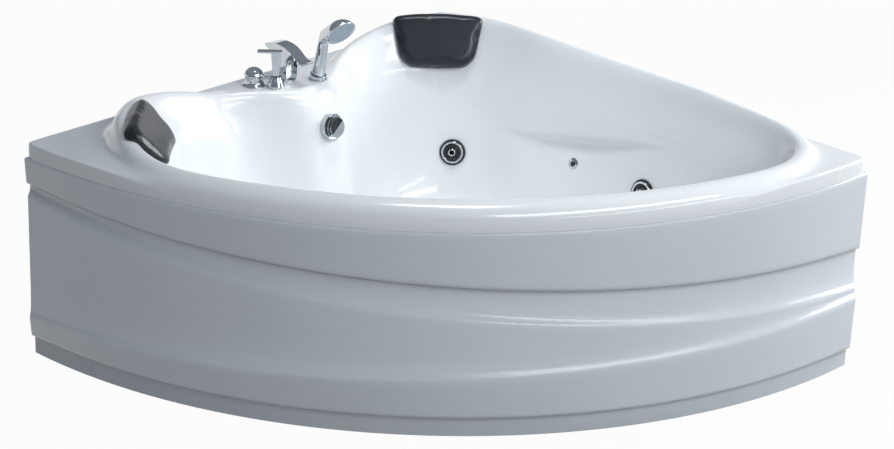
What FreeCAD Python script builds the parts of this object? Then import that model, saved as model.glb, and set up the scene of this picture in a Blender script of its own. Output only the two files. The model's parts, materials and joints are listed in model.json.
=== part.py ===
import FreeCAD, Part
import math
import os
from FreeCAD import Vector

# Quarter-round jetted corner bathtub: shell, skirt, frame, headrests, deck taps, waste, jets and pump.
# Millimetres, +Z up. The room's walls stand along the tub's +X and +Y sides, the curved skirt faces -X and -Y.
# The origin is the middle of the footprint on the ground.

# Whole tub
SIDE = 1500.0
FRONT_RADIUS = 1473.0
DECK_HEIGHT = 580.0
FLOOR_HEIGHT = 150.0
FIT = 0.3
OVERRUN = 6.0

# Tub shell
SHELL_WALL = 6.0
LIP_DROP = 40.0
LIP_SETBACK = 5.0
CORNER_ROUND = 18.0
EDGE_ROUND = 9.0
BASIN_CENTRE = 130.0
STATION_SPACING = 75.0
RIM_SAMPLES = 1200
RIM_WALL_INSET = 42.0
RIM_FRONT_INSET = 60.0
RIM_RISE = 82.0
LEFT_END_RADIUS = 320.0
RIGHT_END_RADIUS = 200.0
BACK_CORNER_RADIUS = 300.0
ROLL_REACH = 50.0
ROLL_DROP = 60.0
WALL_TOP_DROP = 110.0
FLANK_RUN = 46.0
FRONT_ROLL_TURN = 36.0
FRONT_ROLL_FADE = 10.0
# Height of the rim's crest above the deck, as shares of RIM_RISE at directions in degrees from the basin's centre
RIM_RISE_SHARES = (
    (-70, 0.27), (-55, 0.32), (-45, 0.51), (-33, 0.71), (0, 0.79), (31, 0.91), (45, 1.0), (57, 0.76),
    (66, 0.46), (72, 0.22), (77, 0.05), (81, 0.0), (117, 0.0), (121, 0.26), (126, 0.49),
    (136, 0.80), (146, 0.78), (155, 0.43), (162, 0.29), (170, 0.27), (290, 0.27))
FLOOR_REACH_SHARES = (0.58, 0.62)
COVE_SHARES = ((0.685, 0.012), (0.74, 0.10), (0.782, 0.28))
WALL_TOP_SHARE = 0.875
ROLL_SHARES = ((1.0, 1.0), (0.62, 0.30), (0.26, 0.0), (-0.10, 0.0))
FLANK_SHARES = ((0.45, 0.85), (0.75, 0.18), (1.0, 0.0))
FLANK_GAP_SHARE = 0.72
FRONT_ROLL_SHARES = (
    (0.32, 0.03), (0.58, 0.12), (0.78, 0.26), (0.90, 0.42), (0.965, 0.57), (1.0, 0.72), (1.0, 0.86), (1.0, 1.0))

# Tap platform of the shell
PLATFORM_DEPTH = 125.0
PLATFORM_LEFT = -150.0
PLATFORM_RIGHT = 340.0
PLATFORM_LEFT_SLOPE = 180.0
PLATFORM_RIGHT_SLOPE = 220.0

# Arm rest ledge of the shell, along the right wall
LEDGE_HEIGHT_SHARE = 0.667
LEDGE_RISE = 91.0
LEDGE_MIDDLE_TURN = -4.6
LEDGE_HALF_TURN = 27.0
LEDGE_DEPTH = 21.0
LEDGE_FACET = 19.0
LEDGE_EDGE = 8.0
LEDGE_RUN_OUT = 70.0
LEDGE_RUN_OUT_SHARE = 0.4
LEDGE_FADE_SHARE = 1.7

# Base board bonded under the basin's floor
BOARD_THICKNESS = 24.0
BOARD_REACH_SHARE = 0.55

# Front skirt: heights of its wave lines at the left end, the middle and the right end
SKIRT_WALL = 4.0
SKIRT_TOP = 540.0
SKIRT_FLANGE = 62.0
SKIRT_BOTTOM = 50.0
SKIRT_RETURN = 26.0
SKIRT_END_GAP = 2.0
SKIRT_STATIONS = 15
SKIRT_NOSE = 8.0
UPPER_LINE_LEFT = 470.0
UPPER_LINE_MIDDLE = 397.0
UPPER_LINE_RIGHT = 331.0
MIDDLE_LINE_LEFT = 438.0
MIDDLE_LINE_MIDDLE = 317.0
MIDDLE_LINE_RIGHT = 224.0
LOWER_LINE_LEFT = 110.0
LOWER_LINE_MIDDLE = 161.0
LOWER_LINE_RIGHT = 196.0
SKIRT_BAND_TAPER = 4.0
UPPER_STEP = 11.0
MIDDLE_STEP = 8.0
LOWER_STEP = 6.0
STEP_HEIGHT = 7.0
WAVE_HEIGHT = 11.0
UNDER_STEP_HEIGHT = 3.0
SKIRT_FOOT_ROUND = 8.0

# Plinth strip under the skirt
PLINTH_SETBACK = 16.0
PLINTH_THICKNESS = 12.0

# Frame of square steel tube
TUBE = 25.0
FRAME_WALL_GAP = 15.0
FRONT_RAIL_INSET = 68.0
FRONT_RAIL_TURNS = (-44.5, -33.0, -20.0, 0.0, 20.0, 33.0, 44.5)
FRONT_UPRIGHT_TURNS = (-20.0, 20.0)
END_POST_INSET = 60.0
FRONT_CROSS_RAIL = 200.0
BACK_CROSS_RAIL = 800.0
TOP_RAIL_GAP = 2.0
BRACKET_TURNS = (-36.0, -12.0, 12.0, 36.0)
BRACKET_WIDTH = 40.0
BRACKET_PLATE = 3.0

# Feet
PAD_RADIUS = 24.0
PAD_HEIGHT = 14.0
PAD_CROWN_SHARE = 0.7
STUD_RADIUS = 6.0
NUT_RADIUS = 11.0
NUT_HEIGHT = 10.0

# Headrests
HEADREST_CLEARANCE = 1.1
HEADREST_OVER = 22.0
HEADREST_TOP_DIP = 18.0
HEADREST_LENGTH = 166.0
HEADREST_THICKNESS = 34.0
HEADREST_EDGE = 14.0
HEADREST_TOP_WIDTH = 272.0
HEADREST_FOOT_WIDTH = 200.0
HEADREST_TOP_CORNER = 10.0
HEADREST_FOOT_CORNER = 28.0
HEADREST_WAIST = 3.0
HEADREST_ACROSS = 11
HEADREST_DOWN = 11
BACK_HEADREST_TURN = 46.0
LEFT_HEADREST_TURN = 145.0
HEADREST_SIDE_POWER_SHARE = 6.0
HEADREST_CROWN_POWER_SHARE = 0.5

# Deck taps: places on the platform
MIXER_ASIDE = 2.0
MIXER_WALL_GAP = 116.0
MIXER_PLACE = Vector(MIXER_ASIDE, SIDE / 2 - MIXER_WALL_GAP, DECK_HEIGHT + FIT)
DIVERTER_ASIDE = -29.0
DIVERTER_WALL_GAP = 63.0
DIVERTER_PLACE = Vector(DIVERTER_ASIDE, SIDE / 2 - DIVERTER_WALL_GAP, DECK_HEIGHT + FIT)
SPOUT_ASIDE = 66.0
SPOUT_WALL_GAP = 86.0
SPOUT_PLACE = Vector(SPOUT_ASIDE, SIDE / 2 - SPOUT_WALL_GAP, DECK_HEIGHT + FIT)
SHOWER_ASIDE = 130.0
SHOWER_WALL_GAP = 142.0
SHOWER_PLACE = Vector(SHOWER_ASIDE, SIDE / 2 - SHOWER_WALL_GAP, DECK_HEIGHT + FIT)
SHANK_RADIUS = 13.0
SHANK_LENGTH = 46.0
SHANK_HOLE_GAP = 1.0
TAP_NUT_RADIUS = 20.0
TAP_NUT_HEIGHT = 10.0
TAP_FLANGE = 3.0

# Mixer with its cone and T-shaped lever
CONE_FOOT_RADIUS = 23.0
CONE_TOP_RADIUS = 14.0
CONE_HEIGHT = 30.0
CONE_BORE_DEPTH = 9.0
SPINDLE_RADIUS = 7.0
MIXER_CHAMBER_RADIUS = 21.0
MIXER_CHAMBER_HEIGHT = 40.0
TAIL_RADIUS = 10.5
TAIL_LENGTH = 30.0
TAIL_SPACING = 22.0
LEVER_TURN = 133.0
LEVER_TONGUE = 10.0
LEVER_PIN_RADIUS = 2.5
LEVER_PIN_HEIGHT = 23.0
LEVER_HEIGHT = 102.0
LEVER_FOOT_WIDTH = 15.0
LEVER_HEAD_WIDTH = 27.0
LEVER_PLATE_REACH = 50.0
LEVER_PLATE_BACK = 17.0
LEVER_PLATE_WIDTH = 20.0
LEVER_PLATE_THICKNESS = 6.0
LEVER_PLATE_ROUND = 2.5
SLOT_FLOOR_GAP = 1.5

# Diverter with its domed knob and side pin
DIVERTER_FLANGE_RADIUS = 32.0
DIVERTER_CHAMBER_RADIUS = 17.0
KNOB_RADIUS = 27.0
KNOB_WAIST_RADIUS = 24.0
KNOB_HEIGHT = 50.0
KNOB_DOME = 20.0
KNOB_BORE_DEPTH = 22.0
KNOB_PIN_RADIUS = 4.0
KNOB_PIN_REACH = 43.0
KNOB_PIN_HEIGHT = 22.0
KNOB_PIN_TURN = -47.0

# Spout
SPOUT_WIDTH = 40.0
SPOUT_HEIGHT = 98.0
SPOUT_LENGTH = 152.0
SPOUT_FLANGE_RADIUS = 27.0
SPOUT_BORE_RADIUS = 8.0
# Side view of the spout, back to nose, as shares of its length from the axis and of its height
SPOUT_BACK_SHARES = ((0.135, 0.30), (0.20, 0.60), (0.40, 0.86))
SPOUT_TOP_SHARES = ((0.40, 0.92), (0.216, 1.0), (-0.03, 1.0), (-0.20, 0.91), (-0.34, 0.76), (-0.57, 0.68))
SPOUT_UNDER_SHARES = ((-0.57, 0.63), (-0.36, 0.67), (-0.22, 0.66), (-0.15, 0.34))
SPOUT_FOOT_SHARE = 0.125

# Hand shower and its holder
SHOWER_LEAN = 12.5
SHOWER_LEAN_TURN = -98.7
SHOWER_FACE_TURN = -98.7
SHOWER_FACE_DROP = 34.0
SHOWER_HEAD_AHEAD = 52.0
SHOWER_HEAD_ASIDE = 17.0
SHOWER_HEAD_RISE = 12.0
HOLDER_RADIUS = 22.0
HOLDER_HEIGHT = 16.0
HANDLE_PLUG_RADIUS = 11.0
HANDLE_PLUG_LENGTH = 20.0
HANDLE_GAP = 0.6
HANDLE_FOOT_RADIUS = 18.5
HANDLE_NECK_RADIUS = 13.0
HANDLE_LENGTH = 122.0
SHOWER_HEAD_RADIUS = 43.0
SHOWER_HEAD_DEPTH = 38.0
SHOWER_RIM = 5.0
SPRAY_RINGS = 3
SPRAY_HOLE_RADIUS = 1.6
SPRAY_HOLE_DEPTH = 1.5
HOSE_BORE_RADIUS = 7.0

# Seats of the wall fittings, cut flat into the wall
SEAT_SINK = 1.5

# Hydro jets: direction from the basin's centre in degrees, and height
JET_TURNS = {"corner": 41.0, "right": -31.0, "left": 146.0, "front": 246.0}
JET_HEIGHT_SHARES = {"corner": 0.349, "right": 0.465, "left": 0.349, "front": 0.50}
JET_FLANGE_RADIUS = 37.5
JET_FLANGE = 3.5
JET_TUBE_RADIUS = 28.0
JET_BORE_RADIUS = 22.0
JET_DEPTH = 58.0
JET_END_WALL = 5.0
JET_HOLE_GAP = 1.0
JET_STUB_DEPTH = 42.0
JET_STUB_RADIUS = 14.0
AIR_STUB_RADIUS = 8.0
AIR_STUB_LENGTH = 42.0
JET_NUT_RADIUS = 36.0
JET_NUT_HEIGHT = 10.0
JET_FACE_RADIUS = 36.0
JET_FACE_RIM = 3.0
JET_FACE_DOME = 8.0
JET_FACE_SPIGOT = 24.0
JET_FACE_GAP = 0.5
JET_FACE_PASSAGE = 12.0
GRIP_COUNT = 6
GRIP_RADIUS = 5.0
BALL_RADIUS = 17.0
BALL_SINK = 8.5
NOZZLE_RADIUS = 9.0
NOZZLE_BORE = 5.5
NOZZLE_REACH = 19.0
BALL_BACK = 11.0

# Mini jets
MINI_JET_TURNS = {"right": -3.2, "front": 204.0}
MINI_JET_HEIGHT_SHARE = 0.482
MINI_FLANGE_RADIUS = 16.0
MINI_FLANGE = 3.0
MINI_TUBE_RADIUS = 9.0
MINI_DEPTH = 52.0
MINI_CAP_RADIUS = 6.0
MINI_CAP_DEPTH = 8.0
MINI_CAP_PROUD = 1.5
MINI_CAP_HOLES = 5
MINI_HOLE_RADIUS = 1.2
MINI_STUB_RADIUS = 7.0
MINI_NUT_RADIUS = 15.0
MINI_NUT_HEIGHT = 8.0

# Suction fitting
SUCTION_TURN = 186.0
SUCTION_HEIGHT_SHARE = 0.21
SUCTION_FLANGE_RADIUS = 50.0
SUCTION_FLANGE = 4.0
SUCTION_TUBE_RADIUS = 30.0
SUCTION_BORE_RADIUS = 25.0
SUCTION_DEPTH = 42.0
COVER_RADIUS = 47.0
COVER_DOME = 12.0
COVER_WALL = 3.0
COVER_RIM = 4.0
COVER_SLOTS = 12
COVER_SLOT_WIDTH = 5.0
COVER_SLOT_SHARES = (0.40, 0.82)
COVER_SCREW_RADIUS = 5.0

# Pipes
PIPE_RADIUS = 20.0
PIPE_WALL = 2.5
PIPE_BEND = 60.0
BEND_RUN_SHARE = 0.45
RING_HEIGHT_SHARE = 0.221
RING_CLEARANCE = 72.0
RING_DETOURS = (68.0, 108.0)
RING_TURNS = (225.0, 184.0, 130.0, 70.0, 18.0)
RING_DETOUR_TURNS = (112.0, 92.0)
RING_END_RUN = 60.0

# Pump
PUMP_TURN = 160.0
PUMP_HEIGHT = 148.0
VOLUTE_RADIUS = 64.0
VOLUTE_WIDTH = 58.0
VOLUTE_ROUND = 8.0
PUMP_INLET_LENGTH = 26.0
MOTOR_RADIUS = 58.0
MOTOR_LENGTH = 176.0
MOTOR_FINS = 18
FIN_START_SHARE = 0.5
FIN_WIDTH = 4.0
FIN_DEPTH = 5.0
TERMINAL_LENGTH = 66.0
TERMINAL_WIDTH = 54.0
TERMINAL_HEIGHT = 30.0
GLAND_RADIUS = 11.0
GLAND_LENGTH = 14.0
GLAND_BORE = 5.0
FAN_RADIUS = 48.0
FAN_HUB_RADIUS = 12.0
FAN_WIDTH = 18.0
FAN_GAP = 6.0
FAN_BLADES = 7
FAN_BLADE_THICKNESS = 3.0
FAN_SHAFT_RADIUS = 6.0
FAN_SHAFT_DEPTH = 14.0
FAN_COVER_WALL = 2.0
FAN_COVER_LENGTH = 44.0
FAN_COVER_SLOTS = 10
FAN_COVER_SLOT_WIDTH = 6.0
FAN_COVER_SLOT_SHARES = (0.34, 0.80)
PUMP_PLATE = 4.0
PUMP_PLATE_WIDTH = 110.0
PUMP_PLATE_LENGTH = 210.0
PUMP_FOOT_RADIUS = 14.0
PUMP_FOOT_HEIGHT = 16.0
SADDLE_WIDTH = 26.0
SADDLE_SPAN = 80.0
SADDLE_SHARES = (0.16, 0.78)

# Overflow with its turning knob
OVERFLOW_TURN = 94.5
OVERFLOW_DROP = 106.0
OVERFLOW_RING_RADIUS = 36.0
OVERFLOW_RING_DEPTH = 16.0
OVERFLOW_RING_WALL = 4.0
OVERFLOW_HOLE_RADIUS = 27.0
OVERFLOW_BODY_RADIUS = 25.0
OVERFLOW_BODY_DEPTH = 46.0
OVERFLOW_PIPE_RADIUS = 16.0
OVERFLOW_STUB_DEPTH = 26.0
OVERFLOW_SPINDLE = 4.0
KNOB_DISC_RADIUS = 29.0
KNOB_DISC_THICKNESS = 12.0
KNOB_DISC_GAP = 3.0
KNOB_SCOOP_DEPTH = 5.0
KNOB_SCOOP_TURN = 35.0
KNOB_DISC_RIM = 3.0

# Drain, plug and trap
DRAIN_PLACE = Vector(125.0, 330.0, FLOOR_HEIGHT)
DRAIN_FLANGE_RADIUS = 36.0
DRAIN_FLANGE = 3.0
DRAIN_BODY_RADIUS = 27.0
DRAIN_BORE_RADIUS = 22.0
DRAIN_DEPTH = 122.0
DRAIN_END_WALL = 5.0
DRAIN_HOLE_GAP = 1.0
PLUG_RADIUS = 31.0
PLUG_THICKNESS = 4.0
PLUG_CROWN = 3.0
PLUG_STEM_RADIUS = 5.0
PLUG_STEM_LENGTH = 40.0
PLUG_GUIDE_WALL = 3.0
PLUG_REST_GAP = 1.0
OVERFLOW_INLET_HEIGHT = 98.0
WASTE_RADIUS = 20.0
WASTE_HEIGHT = 56.0
TRAP_DIP = 31.0
TRAP_RUN = 90.0
TRAP_SLOPE_RUN = 46.0
WASTE_END_GAP = 52.0
WASTE_BEND = 30.0

half = SIDE / 2
arc_centre = FRONT_RADIUS - half
hub = Vector(arc_centre, arc_centre, 0)
centre = Vector(BASIN_CENTRE, BASIN_CENTRE, 0)
up = Vector(0, 0, 1)
underside = FLOOR_HEIGHT - SHELL_WALL
rail_top = underside - BOARD_THICKNESS
rail_foot = rail_top - TUBE
frame_face = half - FRAME_WALL_GAP
deck_underside = DECK_HEIGHT - SHELL_WALL


# Shared shapes


def heading(degrees):
    """Level unit vector at a direction in degrees from +X."""
    return Vector(math.cos(math.radians(degrees)), math.sin(math.radians(degrees)), 0)


def raised(share):
    """Height at a share of the basin's depth."""
    return FLOOR_HEIGHT + share * (DECK_HEIGHT - FLOOR_HEIGHT)


def smooth(share):
    """Soft step from 0 to 1."""
    share = min(max(share, 0.0), 1.0)
    return share * share * (3 - 2 * share)


def between(stations, degrees):
    """Value at a direction, in line between the stations either side of it."""
    first = stations[0][0]
    degrees = (degrees - first) % 360 + first
    for (start, low), (end, high) in zip(stations, stations[1:]):
        if start <= degrees <= end:
            return low + (high - low) * (degrees - start) / (end - start)
    return stations[-1][1]


def revolved(outline):
    """Solid turned about Z from (radius, height) points; four numbers are an arc's middle and end."""
    def spot(radius, height):
        return Vector(radius, 0, height)

    edges = []
    here = spot(*outline[0])
    for step in outline[1:] + [outline[0]]:
        end = spot(*step[-2:])
        if len(step) == 4:
            edges.append(Part.Arc(here, spot(*step[:2]), end).toShape())
        elif end.distanceToPoint(here) > 0:
            edges.append(Part.LineSegment(here, end).toShape())
        here = end
    return Part.Face(Part.Wire(edges)).revolve(Vector(), up, 360)


def dome_step(radius, low, high):
    """Middle and end of an arc from the rim of a dome up to its top on the axis."""
    rise = high - low
    ball = (radius * radius + rise * rise) / (2 * abs(rise))
    turn = math.asin(radius / ball) / 2
    sign = math.copysign(1, rise)
    return ball * math.sin(turn), high - sign * ball * (1 - math.cos(turn)), 0, high


def tube(outer, inner, low, high):
    """Plain ring about Z."""
    return revolved([(inner, low), (outer, low), (outer, high), (inner, high)])


def rod(radius, start, end):
    """Round bar between two points."""
    return Part.makeCylinder(radius, start.distanceToPoint(end), start, end - start)


def stood(shape, origin, axis, side):
    """The shape, modelled along Z, moved so that Z is the axis and X the side direction."""
    moved = shape.copy()
    moved.Placement = FreeCAD.Placement(origin, FreeCAD.Rotation(side, Vector(), axis, "ZXY"))
    return moved


def bent_path(points, bend):
    """Straight runs through the points, joined by tangent arcs of at most the bend radius."""
    edges = []
    here = points[0]
    for before, corner, after in zip(points, points[1:], points[2:]):
        back = (before - corner).normalize()
        ahead = (after - corner).normalize()
        turn = math.pi - back.getAngle(ahead)
        shorter = min(before.distanceToPoint(corner), after.distanceToPoint(corner))
        radius = min(bend, BEND_RUN_SHARE * shorter / math.tan(turn / 2))
        trim = radius * math.tan(turn / 2)
        inward = (back + ahead).normalize()
        start = corner + back * trim
        end = corner + ahead * trim
        middle = corner + inward * (radius / math.cos(turn / 2) - radius)
        edges.append(Part.LineSegment(here, start).toShape())
        edges.append(Part.Arc(start, middle, end).toShape())
        here = end
    edges.append(Part.LineSegment(here, points[-1]).toShape())
    return Part.Wire(edges)


def swept(path, radius):
    """Round bar along a path."""
    start = path.Edges[0]
    ring = Part.makeCircle(radius, start.valueAt(start.FirstParameter), start.tangentAt(start.FirstParameter))
    return path.makePipeShell([Part.Wire([ring])], True, False)


def pipe(points, radius, wall, bend):
    """Hollow pipe along a path."""
    path = bent_path(points, bend)
    return swept(path, radius).cut(swept(path, radius - wall))


def hexagon(radius, height):
    """Hexagonal prism about Z with flats that touch the radius."""
    corners = [heading(60 * k) * (radius / math.cos(math.pi / 6)) for k in range(7)]
    return Part.Face(Part.makePolygon(corners)).extrude(up * height)


def spline_net(net, ringed, banded):
    """Uniform cubic surface over a net of poles, closed round its stations or its rows where asked."""
    def knots(count, closed):
        if closed:
            return [1] * (count + 1), [float(k) for k in range(count + 1)]
        return [4] + [1] * (count - 4) + [4], [float(k) for k in range(count - 2)]

    around, around_knots = knots(len(net), ringed)
    along, along_knots = knots(len(net[0]), banded)
    surface = Part.BSplineSurface()
    surface.buildFromPolesMultsKnots(net, around, along, around_knots, along_knots, ringed, banded, 3, 3)
    return surface


def sewn(faces):
    """Closed solid from faces that share their edges."""
    skin = Part.makeCompound(faces)
    skin.sewShape()
    solid = Part.Solid(skin.Shells[0])
    if solid.Volume < 0:
        solid.reverse()
    return solid


def level_wire(face, height):
    """The face's boundary that lies level at a height."""
    box_gap = FIT / 10
    level = [edge for edge in face.Edges
             if abs(edge.BoundBox.ZMin - height) < box_gap and abs(edge.BoundBox.ZMax - height) < box_gap]
    return Part.Wire(level)


# Plan of the tub


def quarter_outline(wall_inset, front_inset, left_radius, back_radius, right_radius):
    """Closed plan outline: two wall lines, the front arc and three rounded corners, from the left end on."""
    wall = half - wall_inset
    front = FRONT_RADIUS - front_inset

    def end_reach(radius):
        return arc_centre - math.sqrt((front - radius) ** 2 - (wall - radius - arc_centre) ** 2)

    left = Vector(end_reach(left_radius), wall - left_radius, 0)
    right = Vector(wall - right_radius, end_reach(right_radius), 0)
    back = Vector(wall - back_radius, wall - back_radius, 0)
    left_touch = hub + (left - hub).normalize() * front
    right_touch = hub + (right - hub).normalize() * front

    def bend(middle, radius, start, end):
        first = math.degrees(math.atan2(start.y - middle.y, start.x - middle.x))
        last = math.degrees(math.atan2(end.y - middle.y, end.x - middle.x))
        crown = middle + heading(first + (last - first) % 360 / 2) * radius
        return Part.Arc(start, crown, end).toShape()

    right_foot = Vector(wall, right.y, 0)
    back_start = Vector(wall, back.y, 0)
    back_end = Vector(back.x, wall, 0)
    left_head = Vector(left.x, wall, 0)
    return Part.Wire([
        bend(hub, front, left_touch, right_touch),
        bend(right, right_radius, right_touch, right_foot),
        Part.LineSegment(right_foot, back_start).toShape(),
        bend(back, back_radius, back_start, back_end),
        Part.LineSegment(back_end, left_head).toShape(),
        bend(left, left_radius, left_head, left_touch)])


def direction(point):
    """Direction of a point from the basin's centre, in degrees."""
    return math.degrees(math.atan2(point.y - centre.y, point.x - centre.x))


def rim_line():
    """Plan of the rim's crest as (direction, reach) pairs, drawn in around the tap platform."""
    outline = quarter_outline(
        RIM_WALL_INSET, RIM_FRONT_INSET, LEFT_END_RADIUS, BACK_CORNER_RADIUS, RIGHT_END_RADIUS)
    found = []
    for point in outline.discretize(Number=RIM_SAMPLES):
        rise = smooth((point.x - PLATFORM_LEFT) / PLATFORM_LEFT_SLOPE)
        fall = smooth((PLATFORM_RIGHT - point.x) / PLATFORM_RIGHT_SLOPE)
        if point.y > centre.y:
            point.y -= PLATFORM_DEPTH * rise * fall
        found.append((direction(point), Vector(point.x, point.y, 0).distanceToPoint(centre)))
    found.sort()
    return [(found[-1][0] - 360, found[-1][1])] + found + [(found[0][0] + 360, found[0][1])]


def shell_stations():
    """Points round the shell's outer edge, one for each section of its surface."""
    outline = quarter_outline(0, LIP_SETBACK, CORNER_ROUND, CORNER_ROUND, CORNER_ROUND)
    found = []
    for edge in outline.Edges:
        count = max(2, round(edge.Length / STATION_SPACING))
        found += edge.discretize(Number=count + 1)[:-1]
    return found


# Tub shell


def shell_section(edge):
    """Poles of one section of the shell, from the floor over the rim to the foot of the lip."""
    degrees = direction(edge)
    out = (edge - centre).normalize()
    reach = between(rim, degrees)
    gap = edge.distanceToPoint(centre) - reach
    crest = DECK_HEIGHT + RIM_RISE * between(RIM_RISE_SHARES, degrees)
    depth = DECK_HEIGHT - FLOOR_HEIGHT

    # wall with the arm rest ledge
    turn = (degrees - LEDGE_MIDDLE_TURN + 180) % 360 - 180
    fade = smooth((LEDGE_FADE_SHARE - abs(turn) / LEDGE_HALF_TURN) / (LEDGE_FADE_SHARE - 1))
    ledge = FLOOR_HEIGHT + LEDGE_HEIGHT_SHARE * depth - LEDGE_RISE * fade * turn / (2 * LEDGE_HALF_TURN)
    lens = max(1 - (turn / LEDGE_HALF_TURN) ** 2, 0)
    sunk = LEDGE_DEPTH * lens
    facet = LEDGE_EDGE + (LEDGE_FACET - LEDGE_EDGE) * lens
    ledge_rows = [
        (sunk * LEDGE_RUN_OUT_SHARE, ledge - LEDGE_RUN_OUT), (sunk, ledge - facet - LEDGE_EDGE),
        (sunk, ledge - facet), (0, ledge), (0, ledge + LEDGE_EDGE)]
    rows = [(share * reach, FLOOR_HEIGHT) for share in FLOOR_REACH_SHARES]
    rows += [(share * reach, FLOOR_HEIGHT + rise * depth) for share, rise in COVE_SHARES]
    wall_foot = rows[-1][1]
    wall_top = crest - WALL_TOP_DROP
    foot_share = COVE_SHARES[-1][0]
    for set_back, height in ledge_rows:
        climb = (height - wall_foot) / (wall_top - wall_foot)
        share = foot_share + (WALL_TOP_SHARE - foot_share) * climb
        rows.append((share * reach + set_back, height))
    rows.append((WALL_TOP_SHARE * reach, wall_top))
    rows += [(reach - inward * ROLL_REACH, crest - drop * ROLL_DROP) for inward, drop in ROLL_SHARES]

    # flat deck and square lip at the walls, one long roll at the front
    run = min(FLANK_RUN, FLANK_GAP_SHARE * gap)
    square = [(share * run, DECK_HEIGHT + high * (crest - DECK_HEIGHT)) for share, high in FLANK_SHARES]
    square.append(((run + gap - EDGE_ROUND) / 2, DECK_HEIGHT))
    square.append((gap - EDGE_ROUND, DECK_HEIGHT))
    square.append((gap, DECK_HEIGHT))
    square.append((gap, DECK_HEIGHT - EDGE_ROUND))
    square.append((gap, DECK_HEIGHT - LIP_DROP))
    fall = crest - DECK_HEIGHT + LIP_DROP
    rolled = [(share * gap, crest - drop * fall) for share, drop in FRONT_ROLL_SHARES]
    from_front = abs(math.degrees(math.atan2(edge.y - arc_centre, edge.x - arc_centre)) % 360 - 225)
    front = smooth((FRONT_ROLL_TURN - from_front) / FRONT_ROLL_FADE)
    for (flat, height), (round_reach, round_height) in zip(square, rolled):
        rows.append((reach + flat + (round_reach - flat) * front, height + (round_height - height) * front))
    return [centre + out * distance + up * height for distance, height in rows]


def under_net(net, wall):
    """The net set back by the wall's thickness, level at the floor and at the lip's foot."""
    last = len(net[0]) - 1
    moved = []
    for here, line in enumerate(net):
        poles = []
        for row, pole in enumerate(line):
            along = net[(here + 1) % len(net)][row] - net[here - 1][row]
            climb = line[min(row + 1, last)] - line[max(row - 1, 0)]
            outward = climb.cross(along)
            if row < len(FLOOR_REACH_SHARES):
                outward = Vector(0, 0, 1)
            if row == last:
                outward.z = 0
            poles.append(pole - outward.normalize() * wall)
        moved.append(poles)
    return moved


def shell_blank():
    """The moulded shell before its holes are cut."""
    top = basin.toShape()
    bottom = spline_net(under_net(shell_net, SHELL_WALL), True, False).toShape()
    lip_foot = DECK_HEIGHT - LIP_DROP
    floor = Part.Face(level_wire(top, FLOOR_HEIGHT))
    floor_underside = Part.Face(level_wire(bottom, underside))
    lip_edge = Part.makeFace(
        [level_wire(top, lip_foot), level_wire(bottom, lip_foot)], "Part::FaceMakerBullseye")
    return sewn([top, bottom, floor, floor_underside, lip_edge])


def around_at(degrees, along):
    """Where round the ring of sections the skin lies at a heading, on one row."""
    low, high, _, _ = basin.bounds()

    def turn_error(place):
        return abs((direction(basin.value(place, along)) - degrees + 180) % 360 - 180)

    return closest(turn_error, low, high)


def crest_at(around):
    """Row of the rim's highest point on one section."""
    low = basin.bounds()[2]

    def depth_below(place):
        return -basin.value(around, place).z

    return closest(depth_below, low, low + wall_rows)


def wall_spot(degrees, height):
    """Place, inward normal and level side direction on the basin's wall."""
    low = basin.bounds()[2]
    along = low + wall_rows / 2
    for _ in range(4):
        around = around_at(degrees, along)

        def height_error(place):
            return abs(basin.value(around, place).z - height)

        along = closest(height_error, low, crest_at(around))
    place = basin.value(around, along)
    inward = basin.normal(around, along)
    if inward.dot(centre - place) < 0:
        inward = inward * -1
    side = up.cross(inward).normalize()
    return place, inward, side


def closest(error, low, high):
    """The value between two bounds with the least error, by narrowing a row of tries."""
    tries = 60
    for _ in range(6):
        step = (high - low) / tries
        best = min((low + step * k for k in range(tries + 1)), key=error)
        low = max(low, best - step)
        high = min(high, best + step)
    return best


def seat_spot(degrees, height):
    """Frame of a wall fitting: middle of its flat seat, inward normal and level side direction."""
    place, inward, side = wall_spot(degrees, height)
    return place - inward * SEAT_SINK, inward, side


def seat_tool(spot, hole_radius, seat_radius):
    """Cutter for a wall fitting: its hole, and a flat seat on the inside for its flange."""
    place, inward, side = spot
    behind = JET_DEPTH
    ahead = JET_DEPTH
    profile = [
        (0, -behind), (hole_radius, -behind), (hole_radius, 0),
        (seat_radius, 0), (seat_radius, ahead), (0, ahead)]
    return stood(revolved(profile), place, inward, side)


def tub_shell():
    """Moulded acrylic shell with the holes for its fittings."""
    tools = [seat_tool(jet_spots[name], JET_TUBE_RADIUS + JET_HOLE_GAP, JET_FLANGE_RADIUS + FIT)
             for name in JET_TURNS]
    tools += [seat_tool(mini_spots[name], MINI_TUBE_RADIUS + JET_HOLE_GAP, MINI_FLANGE_RADIUS + FIT)
              for name in MINI_JET_TURNS]
    tools.append(seat_tool(suction_spot, SUCTION_TUBE_RADIUS + JET_HOLE_GAP, SUCTION_FLANGE_RADIUS + FIT))
    tools.append(seat_tool(overflow_spot, OVERFLOW_HOLE_RADIUS, OVERFLOW_RING_RADIUS + FIT))
    for place in tap_places:
        tools.append(rod(SHANK_RADIUS + SHANK_HOLE_GAP, place - up * (SHELL_WALL + OVERRUN), place + up * OVERRUN))
    drain_low = DRAIN_PLACE - up * (SHELL_WALL + OVERRUN)
    tools.append(rod(DRAIN_BODY_RADIUS + DRAIN_HOLE_GAP, drain_low, DRAIN_PLACE + up * OVERRUN))
    return shell_blank().cut(tools)


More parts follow.
